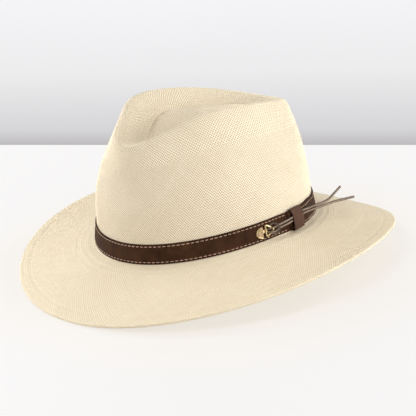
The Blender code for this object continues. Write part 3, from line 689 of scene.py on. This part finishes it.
def brim_upper(angle, share):
    """The brim's upper face, with the small bend at its foot, for share from 0 to 1."""
    if share < BRIM_FOOT:
        u = share / BRIM_FOOT
        high = on_band(angle, 3.2 * MM, WALL_OUT)
        foot = brim_point(angle, BRIM_FOOT * 0.6)
        corner = on_band(angle, 0, WALL_OUT)
        corner[:, 2] = brim_point(angle, 0.0)[:, 2] + 0.1 * MM
        bend = 3 * corner * u * (1 - u) ** 2 + 3 * corner * u**2 * (1 - u)
        return high * (1 - u) ** 3 + bend + foot * u**3
    inner = BRIM_FOOT * 0.6
    outer = 1 - EDGE_RADIUS / BRIM_WIDTH
    points = brim_point(angle, inner + (share - BRIM_FOOT) / (1 - BRIM_FOOT) * (outer - inner))
    ripple = RIPPLE_HEIGHT * np.sin(share * RIPPLE_TURNS) * (1 - smooth(0.1, 0.45, share))
    seam = 0.35 * MM * np.exp(-(((share - HEM_SEAM) / HEM_SEAM_WIDTH) ** 2))
    points[:, 2] += ripple - seam
    return points


def brim_edge(angle, turn):
    """The rolled edge: turn runs from 90 degrees on top to -90 beneath."""
    top = brim_point(angle, 1 - EDGE_RADIUS / BRIM_WIDTH)
    rim = brim_point(angle, 1.0)
    outward = rim - top
    outward[:, 2] = 0
    outward /= np.linalg.norm(outward, axis=1, keepdims=True)
    centre = top.copy()
    centre[:, 2] = edge_line(angle) + EDGE_RADIUS + (top[:, 2] - rim[:, 2]) * 0.5
    points = centre + outward * (math.cos(turn) * EDGE_RADIUS)
    points[:, 2] += math.sin(turn) * (top[:, 2] - centre[:, 2] if turn > 0 else EDGE_RADIUS)
    return points


def brim_lower(angle, share):
    """The brim's underside, for share from 1 at the edge to 0 inside the crown."""
    points, normals = surface_frame(brim_upper, angle, share, 2e-3)
    thick = STRAW + (HEM_THICKNESS - STRAW) * smooth(HEM_STEP_START, HEM_STEP_END, share)
    lower = points + normals * thick
    lower[:, 2] = np.maximum(lower[:, 2], WEAVE_DEPTH)
    return lower


def make_brim(surface):
    """The woven brim, its upper face, rolled edge and underside as one closed skin."""
    upper = woven_rings(brim_upper, 0.004, 1.0, BRIM_COLUMNS, 1.2, 1.12, WEAVE_PITCH)
    row = upper[-1][1]
    count = len(upper[-1][0])
    angle = circle_angles(count)
    rings = list(upper)
    for turn in np.radians([50, 10, -35, -75]):
        row += 1
        sign = np.where((np.arange(count) + row) % 2 == 0, 1.0, -1.0)
        points = brim_edge(angle, turn)
        centre = brim_edge(angle, math.pi / 2) * 0.5 + brim_edge(angle, -math.pi / 2) * 0.5
        away = points - centre
        away /= np.linalg.norm(away, axis=1, keepdims=True)
        lifted = points + away * (sign * WEAVE_DEPTH * 0.9)[:, None]
        lifted[:, 2] = np.maximum(lifted[:, 2], 0.02 * MM)
        rings.append((lifted, row))

    def under(turn_angle, place):
        return brim_lower(turn_angle, 1 - place)

    below = woven_rings(under, 0.02, 0.995, count, 0.8333, 0.86, WEAVE_PITCH)
    rings += [(points, row + 1 + k) for points, k in below]
    points, faces, uvs = stitch_rings(rings)
    _, rim_faces, rim_uvs = stitch_rings([rings[-1], rings[0]])
    last_count = len(rings[-1][0])
    last_start = len(points) - last_count
    faces += [[i + last_start if i < last_count else i - last_count for i in face] for face in rim_faces]
    uvs += rim_uvs
    made = build_mesh("straw_brim", points, faces, "weave", uvs)
    return place_piece(made, surface, "hat", "straw", "straw_body")


def place_piece(made, surface, body, slot, *nodes):
    """Gives a piece its material and its body, and hides the CAD nodes that it stands for. The slot argument
    is not used.
    """
    made.data.materials.clear()
    made.data.materials.append(surface)
    if body is not None:
        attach(made, body)
    if nodes:
        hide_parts(*nodes)
    return made


def sweep(name, sections, closed_along=False):
    """A skin over equal closed sections, with flat ends. UV map place: metres along, share round."""
    grid = np.asarray(sections, float)
    rows, count = grid.shape[:2]
    centres = grid.mean(1)
    ahead = np.roll(centres, -1, 0) if closed_along else centres[1:]
    steps = np.linalg.norm(ahead - centres[: len(ahead)], axis=1)
    run = np.concatenate([[0], np.cumsum(steps)])
    faces, uvs = [], []
    for i in range(rows if closed_along else rows - 1):
        here, there = i * count, (i + 1) % rows * count
        for k in range(count):
            m = (k + 1) % count
            faces.append((here + k, here + m, there + m, there + k))
            low, high = k / count, (k + 1) / count
            uvs += [(run[i], low), (run[i], high), (run[i + 1], high), (run[i + 1], low)]
    if not closed_along:
        for first, at in ((0, 0), ((rows - 1) * count, -1)):
            faces.append(tuple(range(first, first + count)))
            uvs += [(run[at], k / count) for k in range(count)]
    return build_mesh(name, grid.reshape(-1, 3), faces, "place", uvs)


def tube_sections(path, radius, sides, flat=1.0, closed=False, ends=None):
    """Sections of a tube along a path, with no twist. Ends are radius shares of the first sections."""
    points = np.asarray(path, float)
    if closed:
        tangents = np.roll(points, -1, 0) - np.roll(points, 1, 0)
    else:
        tangents = np.gradient(points, axis=0)
    tangents /= np.linalg.norm(tangents, axis=1, keepdims=True)
    share = np.ones(len(points))
    if ends is not None:
        share[: len(ends)] = ends
        share[-len(ends) :] = ends[::-1]
    up = np.array([0.0, 0.0, 1.0])
    turn = circle_angles(sides)
    sections = []
    for point, tangent, size in zip(points, tangents, share):
        up = up - tangent * np.dot(up, tangent)
        up /= np.linalg.norm(up)
        side = np.cross(tangent, up)
        across = np.multiply.outer(np.cos(turn), up) + np.multiply.outer(np.sin(turn) * flat, side)
        sections.append(point + across * radius * size)
    return sections


def smooth_route(route, count):
    """Evenly spread points on a smooth curve through the route's points (Catmull-Rom)."""
    knots = [Vector(point) for point in route]
    knots = [2 * knots[0] - knots[1]] + knots + [2 * knots[-1] - knots[-2]]
    dense = []
    for i in range(1, len(knots) - 2):
        a, b, c, d = knots[i - 1 : i + 3]
        for step in range(12):
            u = step / 12
            square = (2 * a - 5 * b + 4 * c - d) * u**2
            cube = (3 * b - a - 3 * c + d) * u**3
            dense.append(0.5 * (2 * b + (c - a) * u + square + cube))
    dense.append(knots[-2])
    run = [0.0]
    for first, second in zip(dense, dense[1:]):
        run.append(run[-1] + (second - first).length)
    marks = np.linspace(0, run[-1], count)
    return np.transpose([np.interp(marks, run, [point[axis] for point in dense]) for axis in range(3)])


def fitting_frame(angle_degrees, height, out):
    """A frame on the band: X runs back along it, Y up its width and Z straight out."""
    angle = math.radians(angle_degrees)
    origin = Vector(on_band(angle, height, out))
    up = (Vector(on_band(angle, height + MM, out)) - origin).normalized()
    back = (Vector(on_band(angle + 0.01, height, out)) - origin).normalized()
    outward = back.cross(up).normalized()
    back = up.cross(outward)
    return Matrix.Translation(origin) @ Matrix((back, up, outward)).transposed().to_4x4()


# ---------------------------------------------------------------- strips and stitches


def strip_profile(low, high, outer, inner, rows):
    """Outline of a strip's cross-section as (height, out): the face from low to high, then the back."""
    radius = (outer - inner) / 2
    middle = (outer + inner) / 2
    turn = np.radians([25, 55, 80])
    foot = [(low + radius * (1 - math.sin(t)), middle + radius * math.cos(t)) for t in turn[::-1]]
    face = [(h, outer) for h in np.linspace(low + radius, high - radius, rows)]
    head = [(high - radius * (1 - math.sin(t)), middle + radius * math.cos(t)) for t in turn]
    back = [(h, 2 * middle - out) for h, out in (foot + face[:: max(1, rows // 6)] + head)][::-1]
    return foot + face + head + back


def groove_depth(height, places, depth, width):
    return sum(depth * math.exp(-(((height - place) / width) ** 2)) for place in places)


def capped_faces(start, rows, count):
    """Faces of a skin over rows of count points each, with both ends closed."""
    faces = []
    for i in range(rows - 1):
        here, there = start + i * count, start + (i + 1) * count
        for j in range(count):
            m = (j + 1) % count
            faces.append((here + j, here + m, there + m, there + j))
    last = start + (rows - 1) * count
    return faces + [tuple(range(start, start + count)), tuple(range(last, last + count))]


def capsule_row(name, centres, along, outward, length, radius, sink):
    """Short rounded stitches in one mesh: each bends down at both ends, where it goes into its hole."""
    stations = np.array([-1, -0.86, -0.5, 0, 0.5, 0.86, 1.0])
    sizes = np.array([0.45, 0.85, 1, 1, 1, 0.85, 0.45])
    sides = 8
    turn = circle_angles(sides)
    side = np.cross(along, outward)
    side /= np.linalg.norm(side, axis=1, keepdims=True)
    points, faces = [], []
    for k in range(len(centres)):
        start = len(points)
        for station, size in zip(stations, sizes):
            dip = -sink * station**4
            middle = centres[k] + along[k] * station * length / 2 + outward[k] * dip
            for t in turn:
                across = side[k] * math.cos(t) + outward[k] * math.sin(t) * 0.8
                points.append(middle + across * radius * size)
        faces += capped_faces(start, len(stations), sides)
    return build_mesh(name, points, faces)


def row_frames(shape, first, last, pitch):
    """Angles, centres and directions of stitches a pitch apart along shape(angle in degrees)."""
    dense = np.linspace(first, last, 2000)
    line = np.array([shape(d) for d in dense])
    run = np.concatenate([[0], np.cumsum(np.linalg.norm(np.diff(line, axis=0), axis=1))])
    count = int(run[-1] / pitch)
    marks = (np.arange(count) + 0.5) * run[-1] / count
    degrees = np.interp(marks, run, dense)
    centres = np.array([shape(d) for d in degrees])
    along = np.array([shape(d + 0.3) - shape(d - 0.3) for d in degrees])
    along /= np.linalg.norm(along, axis=1, keepdims=True)
    return degrees, centres, along


def band_normals(degrees):
    """Outward normals of the band's leaning face."""
    angle = np.radians(degrees)
    step = on_band(angle, 5 * MM, MM) - on_band(angle, 5 * MM, 0)
    rise = on_band(angle, 6 * MM, 0) - on_band(angle, 5 * MM, 0)
    step -= rise * (step * rise).sum(1, keepdims=True) / (rise * rise).sum(1, keepdims=True)
    return step / np.linalg.norm(step, axis=1, keepdims=True)


def keeper_lift(degrees):
    return KEEPER_LIFT * plateau(88.5, 95, 111, 118, np.asarray(degrees, float) % 360)


def strap_out(degrees):
    """Distance of the strap's outer face, for an angle that runs on past 360 under its own first end."""
    return keeper_lift(degrees) + (LEATHER + GAP) * (1 - smooth(123, 142, degrees))


BAND_STITCH_PITCH = 3.9 * MM
BAND_STITCH_ROWS = (STITCH_INSET, BAND_WIDTH - STITCH_INSET)


def make_strap(surface):
    """The leather strap with a domed face, stitch grooves that pucker between stitches and rounded edges."""
    last = STRAP_END_ANGLE + 360 + STRAP_OVERLAP
    stops = np.linspace(STRAP_END_ANGLE, last, 1100)
    profile = strip_profile(0, BAND_WIDTH, 0, -LEATHER, 25)
    sections = []
    for degrees in stops:
        face = float(strap_out(degrees))
        slant = STRAP_END_SLANT * max(0.0, 1 - (degrees - STRAP_END_ANGLE) / 6)
        pucker = 0.6 + 0.4 * math.sin(degrees * 2.6)
        section = []
        for height, out in profile:
            angle = math.radians(degrees + slant * (1 - height / BAND_WIDTH))
            if out > -LEATHER / 2:
                dome = 0.12 * MM * (1 - ((height / BAND_WIDTH - 0.5) * 2) ** 2)
                out += dome - pucker * groove_depth(height, BAND_STITCH_ROWS, 0.22 * MM, 0.45 * MM)
            section.append(on_band(angle, height, face + out - 0.06 * MM))
        sections.append(section)
    return place_piece(sweep("leather_band", sections), surface, "hat", "band_leather", "band_strap")


def make_band_stitches(name, height, node, surface):
    def line(degrees):
        return on_band(math.radians(degrees), height, float(strap_out(degrees)) + 0.1 * MM)

    first, last = STRAP_END_ANGLE + 2.4, STRAP_END_ANGLE + 359
    degrees, centres, along = row_frames(line, first, last, BAND_STITCH_PITCH)
    made = capsule_row(name, centres, along, band_normals(degrees), 2.6 * MM, 0.27 * MM, 0.3 * MM)
    return place_piece(made, surface, "hat", "stitching", node)


def make_hem_stitches(surface):
    share = 1 - (HEM_WIDTH - 1.5 * MM) / BRIM_WIDTH

    def line(degrees):
        point = brim_point(np.radians([degrees]), share)[0]
        return point + np.array([0, 0, 0.16 * MM])

    degrees, centres, along = row_frames(line, 0, 360, 4.2 * MM)
    inward = centres - np.array([brim_point(np.radians([d]), share - 0.02)[0] for d in degrees])
    outward = np.cross(along, -inward)
    outward /= np.linalg.norm(outward, axis=1, keepdims=True)
    outward *= np.sign(outward[:, 2:3])
    made = capsule_row("hem_stitches", centres, along, outward, 2.4 * MM, 0.2 * MM, 0.25 * MM)
    return place_piece(made, surface, "hat", "straw_thread", "brim_hem_thread")


# ---------------------------------------------------------------- the keeper


def chaikin(outline, rounds):
    """Rounds the corners of a closed outline by cutting them again and again."""
    points = np.asarray(outline, float)
    for _ in range(rounds):
        ahead = np.roll(points, -1, 0)
        points = np.stack([points * 0.75 + ahead * 0.25, points * 0.25 + ahead * 0.75], 1).reshape(-1, 2)
    return points


def make_keeper(surface):
    """The nubuck loop: a rounded band of leather whose middle line goes round the strap and the laces."""
    back = WALL_OUT + GAP
    face = float(strap_out(STRAP_END_ANGLE + 4))
    arch = face + 2 * GAP + 2 * LACE_HALF_THICKNESS
    side = face + 2 * GAP + 0.44 * MM
    half = KEEPER_LEATHER / 2
    low, high = -GAP - half, BAND_WIDTH + GAP + half
    outline = [(low, back + half), (low, side + 0.1 * MM), (2.9 * MM, arch + half)]
    outline += [(BAND_WIDTH / 2, arch + half + 0.1 * MM), (13.3 * MM, arch + half)]
    outline += [(high, side + 0.1 * MM), (high, back + half)]
    middle = chaikin(outline, 2)
    around = np.linalg.norm(np.roll(middle, -1, 0) - middle, axis=1)
    run = np.concatenate([[0], np.cumsum(around)])
    marks = np.linspace(0, run[-1], 121)[:-1]
    loop = np.concatenate([middle, middle[:1]])
    middle = np.stack([np.interp(marks, run, loop[:, axis]) for axis in range(2)], 1)
    tangent = np.roll(middle, -1, 0) - np.roll(middle, 1, 0)
    tangent /= np.linalg.norm(tangent, axis=1, keepdims=True)
    normal = np.stack([-tangent[:, 1], tangent[:, 0]], 1)
    centre = middle.mean(0)
    normal *= np.sign(((middle - centre) * normal).sum(1))[:, None]
    width = (KEEPER_END - KEEPER_START) / 2
    edge = 0.22
    section = [(-width + 0.02, 0.3), (-width + edge * 0.5, 0.8), (-width + edge, 1.0)]
    section += [(x, 1.0) for x in np.linspace(-width + 0.8, width - 0.8, 12)]
    section += [(width - edge, 1.0), (width - edge * 0.5, 0.8), (width - 0.02, 0.3)]
    section += [(x, -t) for x, t in reversed(section)]
    mid_angle = (KEEPER_START + KEEPER_END) / 2
    sections = []
    for point, direction in zip(middle, normal):
        ring_points = []
        for turn, out in section:
            swell = 0.1 * MM * (1 - (turn / width) ** 2) if out > 0 and point[1] > face else 0.0
            place = point + direction * (half * out + swell)
            ring_points.append(on_band(math.radians(mid_angle + turn), place[0], place[1]))
        sections.append(ring_points)
    made = sweep("keeper", sections, closed_along=True)
    return place_piece(made, surface, "keeper", "keeper_leather", "keeper_loop")


# ---------------------------------------------------------------- brass fittings


DISH_RING = 5


def make_plate(surface, dull):
    """The half-oval plate: a raised rounded rim round a dished face, and the tongue that holds the ring."""
    frame_matrix = fitting_frame(PLATE_ANGLE, PLATE_HEIGHT, GAP)
    half_height, length, straight_side = 4.6 * MM, 6.6 * MM, 3.0 * MM
    turn = np.linspace(math.pi / 2, 3 * math.pi / 2, 41)
    outline = [(straight_side + length * math.cos(a), half_height * math.sin(a)) for a in turn]
    for y in np.linspace(-half_height, half_height, 20)[1:-1]:
        outline.append((straight_side, y))
    outline = np.array(outline)
    centre = np.array([0.6 * MM, 0.0])
    rings = [(1.0, 0.05), (1.0, 0.75), (0.985, 0.92), (0.95, 0.98), (0.9, 0.96), (0.86, 0.85), (0.82, 0.66)]
    rings += [(0.7, 0.58), (0.5, 0.57), (0.3, 0.585), (0.1, 0.6)]
    points = []
    count = len(outline)
    for scale, height in rings:
        flat = centre + (outline - centre) * scale
        points += [frame_matrix @ Vector((x, y, height * MM)) for x, y in flat]
    faces = capped_faces(0, len(rings), count)
    bar = frame_matrix.inverted() @ fitting_frame(RING_ANGLE, RING_HEIGHT, RING_BAR_OUT)
    hook, thick, half = RING_WIRE + 0.15 * MM, 0.3 * MM, 1.3 * MM
    far = hook + thick
    start = len(points)
    widths = (-half, -half + 0.12 * MM, half - 0.12 * MM, half)
    turns = np.radians(np.linspace(-90, 35, 12))
    rise = Vector((0, 0, thick))
    for y in widths:
        trim = 0.08 * MM if abs(y) == half else 0.0
        near, away = hook + trim, far - trim
        inside = [bar @ Vector((near * math.cos(a), y, near * math.sin(a))) for a in turns]
        outside = [bar @ Vector((away * math.cos(a), y, away * math.sin(a))) for a in turns]
        begin = Vector((2.2 * MM, y, 0.05 * MM))
        dip = bar @ Vector((-1.5 * MM, y, -far))
        strip = [begin + rise, dip + rise] + inside + outside[::-1] + [dip, begin]
        points += [frame_matrix @ point for point in strip]
    faces += capped_faces(start, len(widths), len(strip))
    made = build_mesh("brass_plate", points, faces)
    made.data.set_sharp_from_angle(angle=math.radians(50))
    place_piece(made, surface, "hat", "brass", "hinge_plate")
    made.data.materials.append(dull)
    dished = count * DISH_RING
    rim_end = count * len(rings)
    in_dish = [dished <= min(face.vertices) and max(face.vertices) < rim_end for face in made.data.polygons]
    made.data.polygons.foreach_set("material_index", np.array(in_dish, dtype=np.int32))
    return made


def ring_route():
    """The triangular ring in its own plane: the bar lies on X = 0 and the point is RING_DEPTH behind it."""
    corners = [Vector((0, -RING_HALF_HEIGHT)), Vector((0, RING_HALF_HEIGHT)), Vector((RING_DEPTH, 0))]
    route = []
    for i, corner in enumerate(corners):
        before = (corners[i - 1] - corner).normalized()
        after = (corners[(i + 1) % 3] - corner).normalized()
        middle = (before + after).normalized()
        half_angle = before.angle(after) / 2
        centre = corner + middle * RING_CORNER / math.sin(half_angle)
        sweep_angle = math.pi / 2 - half_angle
        side = (after - before).normalized()
        for turn in np.linspace(-sweep_angle, sweep_angle, 12):
            route.append(centre + RING_CORNER * (side * math.sin(turn) - middle * math.cos(turn)))
        following = corners[(i + 1) % 3]
        for share in (0.35, 0.5, 0.65):
            route.append(corner.lerp(following, share))
    return [Vector((point.x, point.y, 0)) for point in route]


def make_ring(surface):
    tilted = fitting_frame(RING_ANGLE, RING_HEIGHT, RING_BAR_OUT) @ Matrix.Rotation(-RING_TILT, 4, "Y")
    route = [tilted @ point for point in ring_route()]
    made = sweep("brass_ring", tube_sections(route, RING_WIRE, 16, closed=True), closed_along=True)
    return place_piece(made, surface, "ring", "brass", "triangle_ring")


# ---------------------------------------------------------------- the lace

# The half knot in the ring's frame, in mm: back along the band, up, out. The other half mirrors it.
KNOT_ROUTE = [
    (12.0, 1.35, 0.4),
    (10.6, 1.45, 0.8),
    (9.2, 1.65, 2.0),
    (7.7, 1.80, 3.1),
    (6.1, 1.85, 3.5),
    (4.6, 1.80, 3.25),
    (3.15, 1.50, 2.35),
    (2.55, 1.45, 0.85),
    (3.2, 2.05, -0.4),
    (4.9, 3.25, -0.6),
    (6.6, 4.25, -0.3),
    (8.3, 4.50, 0.9),
    (10.0, 3.60, 2.4),
    (11.1, 1.90, 3.35),
    (11.5, 0.0, 3.6),
]
# A lace's route back from the knot: angle round the hat, then rise and distance outside the band in mm.
LACE_ON_BAND = [
    (87.75, 0.0, 1.9),
    (89.2, 0.0, 1.35),
    (91.2, 0.3, 1.6),
    (93.2, 0.9, 2.6),
    (95.0, 1.5, 3.35),
    (97.5, 1.9, 3.45),
    (101.5, 2.4, 3.5),
    (106.5, 3.0, 3.5),
]
# Then it springs clear: distance back from the last of those points, outwards and up, in mm.
UPPER_TAIL = [
    (7.7, 2.9, -0.2),
    (14.0, 6.3, 0.0),
    (21.0, 9.8, 0.0),
    (26.5, 12.8, 1.1),
    (31.3, 15.6, 4.0),
    (37.9, 19.5, 8.1),
]
LOWER_TAIL = [
    (7.1, 2.7, 0.2),
    (13.8, 6.3, 0.1),
    (22.3, 10.6, 0.0),
    (31.0, 14.9, -0.4),
    (41.2, 19.6, -1.6),
    (50.6, 24.0, -2.9),
]
CUT_END = (0.82, 0.96, 1.0)


def make_knot(surface):
    ring_flat = fitting_frame(RING_ANGLE, RING_HEIGHT, RING_BAR_OUT)
    half = [Vector(point) * MM for point in KNOT_ROUTE]
    other = [Vector((x, -y, z)) for x, y, z in reversed(half[:-1])]
    path = smooth_route([ring_flat @ point for point in half + other], 220)
    made = sweep("knotted_lace", tube_sections(path, KNOT_RADIUS, 14, ends=CUT_END))
    return place_piece(made, surface, "ring", "lace_leather", "lace_knot")


def make_lace(name, node, side, tail, surface):
    """One running end of the lace: from the knot along the band, through the keeper and out behind it."""
    height = LACE_HEIGHT + side * LACE_SPACING / 2
    route = [Vector(on_band(math.radians(d), height + rise * MM, out * MM)) for d, rise, out in LACE_ON_BAND]
    last_angle, last_rise, last_out = LACE_ON_BAND[-1]
    exit_frame = fitting_frame(last_angle, height + last_rise * MM, last_out * MM)
    route += [exit_frame @ (Vector((back, up, out)) * MM) for back, out, up in tail]
    path = smooth_route(route, 240)
    flat = LACE_HALF_THICKNESS / LACE_HALF_WIDTH
    made = sweep(name, tube_sections(path, LACE_HALF_WIDTH, 18, flat=flat, ends=CUT_END))
    place_piece(made, surface, None, "lace_leather", node)
    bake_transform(made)
    return made


# ---------------------------------------------------------------- inside the hat


def make_inner_strip(name, first, last, low, high, outer, thick, rows):
    """A strip against the inside of the hat, with rounded edges."""
    profile = strip_profile(low, high, outer, outer - thick, rows)
    stops = np.radians(np.linspace(first, last, max(8, int((last - first) * 1.2))))
    return sweep(name, [[on_band(angle, height, out) for height, out in profile] for angle in stops])


def make_inside(sweat_leather, thread, tape, label):
    """The sweatband with its reed, stitches, seam tape and blank size label."""
    strip = make_inner_strip(
        "sweatband_strip", 180.3, 539.7, SWEATBAND_LOW, SWEATBAND_TOP, SWEATBAND_OUT, SWEATBAND_LEATHER, 16
    )
    place_piece(strip, sweat_leather, "hat", "sweat_leather", "sweatband")
    height = SWEATBAND_LOW - GAP - REED_RADIUS
    path = on_band(circle_angles(360), height, SWEATBAND_OUT - REED_RADIUS - 0.1 * MM)
    reed = sweep("covered_reed", tube_sections(path, REED_RADIUS, 12, closed=True), closed_along=True)
    place_piece(reed, sweat_leather, "hat", "sweat_leather", "sweatband_reed")
    out = SWEATBAND_OUT - SWEATBAND_LEATHER

    def line(degrees):
        return on_band(math.radians(degrees), SWEATBAND_STITCH, out - 0.1 * MM)

    degrees, centres, along = row_frames(line, 0, 360, 3.2 * MM)
    stitches = capsule_row(
        "sweatband_stitches", centres, along, -band_normals(degrees), 2.1 * MM, 0.22 * MM, 0.25 * MM
    )
    place_piece(stitches, thread, "hat", "stitching", "sweatband_thread")
    patch_out = out - GAP
    seam = make_inner_strip("seam_tape", 175.5, 184.5, 3 * MM, 29 * MM, patch_out, 0.5 * MM, 14)
    place_piece(seam, tape, "hat", "tape", "sweatband_seam_tape")
    tag = make_inner_strip("blank_label", 152, 164, 6 * MM, 18 * MM, patch_out, 0.3 * MM, 8)
    place_piece(tag, label, "hat", "label", "size_label")


# ---------------------------------------------------------------- the stage


def make_stage():
    """The table, whose far edge shows behind the hat, and a glowing backdrop a long way behind it, with
    painted shade at its foot.
    """
    normal = Vector((math.sin(TABLE_EDGE_AZIMUTH), -math.cos(TABLE_EDGE_AZIMUTH), 0))
    along = Vector((math.cos(TABLE_EDGE_AZIMUTH), math.sin(TABLE_EDGE_AZIMUTH), 0))
    far = -TABLE_EDGE_DISTANCE * normal
    left, right = far - STAGE_REACH * along, far + STAGE_REACH * along
    corners = [left, right, right + STAGE_REACH * normal, left + STAGE_REACH * normal]
    points = corners + [corner - Vector((0, 0, 0.04)) for corner in corners]
    faces = [(0, 1, 2, 3), (7, 6, 5, 4), (0, 4, 5, 1), (1, 5, 6, 2), (2, 6, 7, 3), (3, 7, 4, 0)]
    table = build_mesh("table", points, faces)
    table.data.shade_flat()
    table.data.materials.append(stage_material("pale_table", (0.19, 0.19, 0.193), 0.5, TABLE_GLOW))
    low = -BACKDROP_DISTANCE * normal - Vector((0, 0, 1.2))
    rise = Vector((0, 0, 2.4))
    left, right = low - STAGE_REACH * along, low + STAGE_REACH * along
    wall = [left, right, right + rise, left + rise]
    backdrop = build_mesh("backdrop", wall, [(0, 1, 2, 3)])
    backdrop.data.materials.append(backdrop_material())


def backdrop_material():
    """A glowing backdrop, grey at the foot and paler upwards: painted shade, deepest just above the table's
    far edge.
    """
    n = Nodes("backdrop")
    _, _, z = n.split(n.object_place())
    # Painted shade: the backdrop darkens towards its foot, behind the table's far edge.
    colour = n.blend(n.scale(z, -0.505, -0.46, 0.0, 1.0), (0.50, 0.49, 0.50), (0.67, 0.66, 0.675))
    colour = n.blend(n.scale(z, -0.46, -0.30, 0.0, 1.0), colour, (0.84, 0.84, 0.85))
    colour = n.blend(n.scale(z, -0.30, -0.10, 0.0, 1.0), colour, (0.91, 0.91, 0.925))
    n.feed(n.shader.inputs["Emission Color"], colour)
    n.shader.inputs["Emission Strength"].default_value = 1.0
    return n.finish((0, 0, 0), 1.0, Specular_IOR_Level=0.0)


# ---------------------------------------------------------------- the whole scene


make_camera()
make_lights()

# Each straw's colours: pale straws, darker straws, and the painted shade in the gaps between them.
CROWN_COLOURS = ((0.95, 0.84, 0.64), (0.84, 0.70, 0.48), (0.27, 0.18, 0.10))
# The brim's colours are a darker copy of the crown's: painted shade.
SHADED_BRIM_COLOURS = ((0.83, 0.73, 0.545), (0.73, 0.605, 0.41), (0.27, 0.18, 0.10))
BAND_COLOURS = ((0.026, 0.0105, 0.0043), (0.072, 0.031, 0.0135))
BAND_WORN = (0.11, 0.055, 0.03)
NUBUCK_COLOURS = ((0.05, 0.024, 0.0145), (0.135, 0.07, 0.045))
NUBUCK_CUT = (0.035, 0.017, 0.011)

straw = straw_material("woven_straw", *CROWN_COLOURS, 1.0, 0.75 * MM)
# The brim's straw: the crown's weave in darker colours, which is painted shade, with less painted shade in its
# gaps.
shaded_brim_straw = straw_material("woven_shaded_brim_straw", *SHADED_BRIM_COLOURS, 0.55, 0.25 * MM)
straw_thread = thread_material("straw_thread", (0.78, 0.66, 0.46), (0.66, 0.54, 0.36))
band_leather = leather_material("dark_brown_leather", *BAND_COLOURS, 900.0, 0.58, BAND_WORN, 0.06)
keeper_leather = leather_material("nubuck", *NUBUCK_COLOURS, 1500.0, 0.8, NUBUCK_CUT)
# The lace's first colour is for its edges: raw cut edges with painted shade.
lace_leather = lace_material("lace_leather", (0.045, 0.026, 0.016), (0.17, 0.115, 0.075), (0.30, 0.22, 0.15))
stitching = thread_material("cream_thread", (0.58, 0.39, 0.28), (0.42, 0.27, 0.19))
brass = brass_material("antique_brass", (0.78, 0.60, 0.33), (0.40, 0.27, 0.13))
dull_brass = brass_material("dull_brass", (0.33, 0.235, 0.14), (0.15, 0.10, 0.055))
sweat_leather = leather_material("tan_leather", (0.34, 0.2, 0.105), (0.48, 0.31, 0.18), 700.0, 0.5)
tape = cloth_material("brown_tape", (0.12, 0.075, 0.05), (0.05, 0.03, 0.02), 0.8 * MM)
label = cloth_material("blank_label", (0.82, 0.79, 0.72), (0.6, 0.57, 0.5), 0.6 * MM)

make_crown(straw)
make_brim(shaded_brim_straw)
make_hem_stitches(straw_thread)
make_strap(band_leather)
make_band_stitches("band_stitches_lower", BAND_STITCH_ROWS[0], "band_stitch_lower", stitching)
make_band_stitches("band_stitches_upper", BAND_STITCH_ROWS[1], "band_stitch_upper", stitching)
make_keeper(keeper_leather)
make_plate(brass, dull_brass)
make_ring(brass)
make_knot(lace_leather)
make_lace("upper_lace", "lace_upper", 1, UPPER_TAIL, lace_leather)
make_lace("lower_lace", "lace_lower", -1, LOWER_TAIL, lace_leather)
make_inside(sweat_leather, stitching, tape, label)
make_stage()
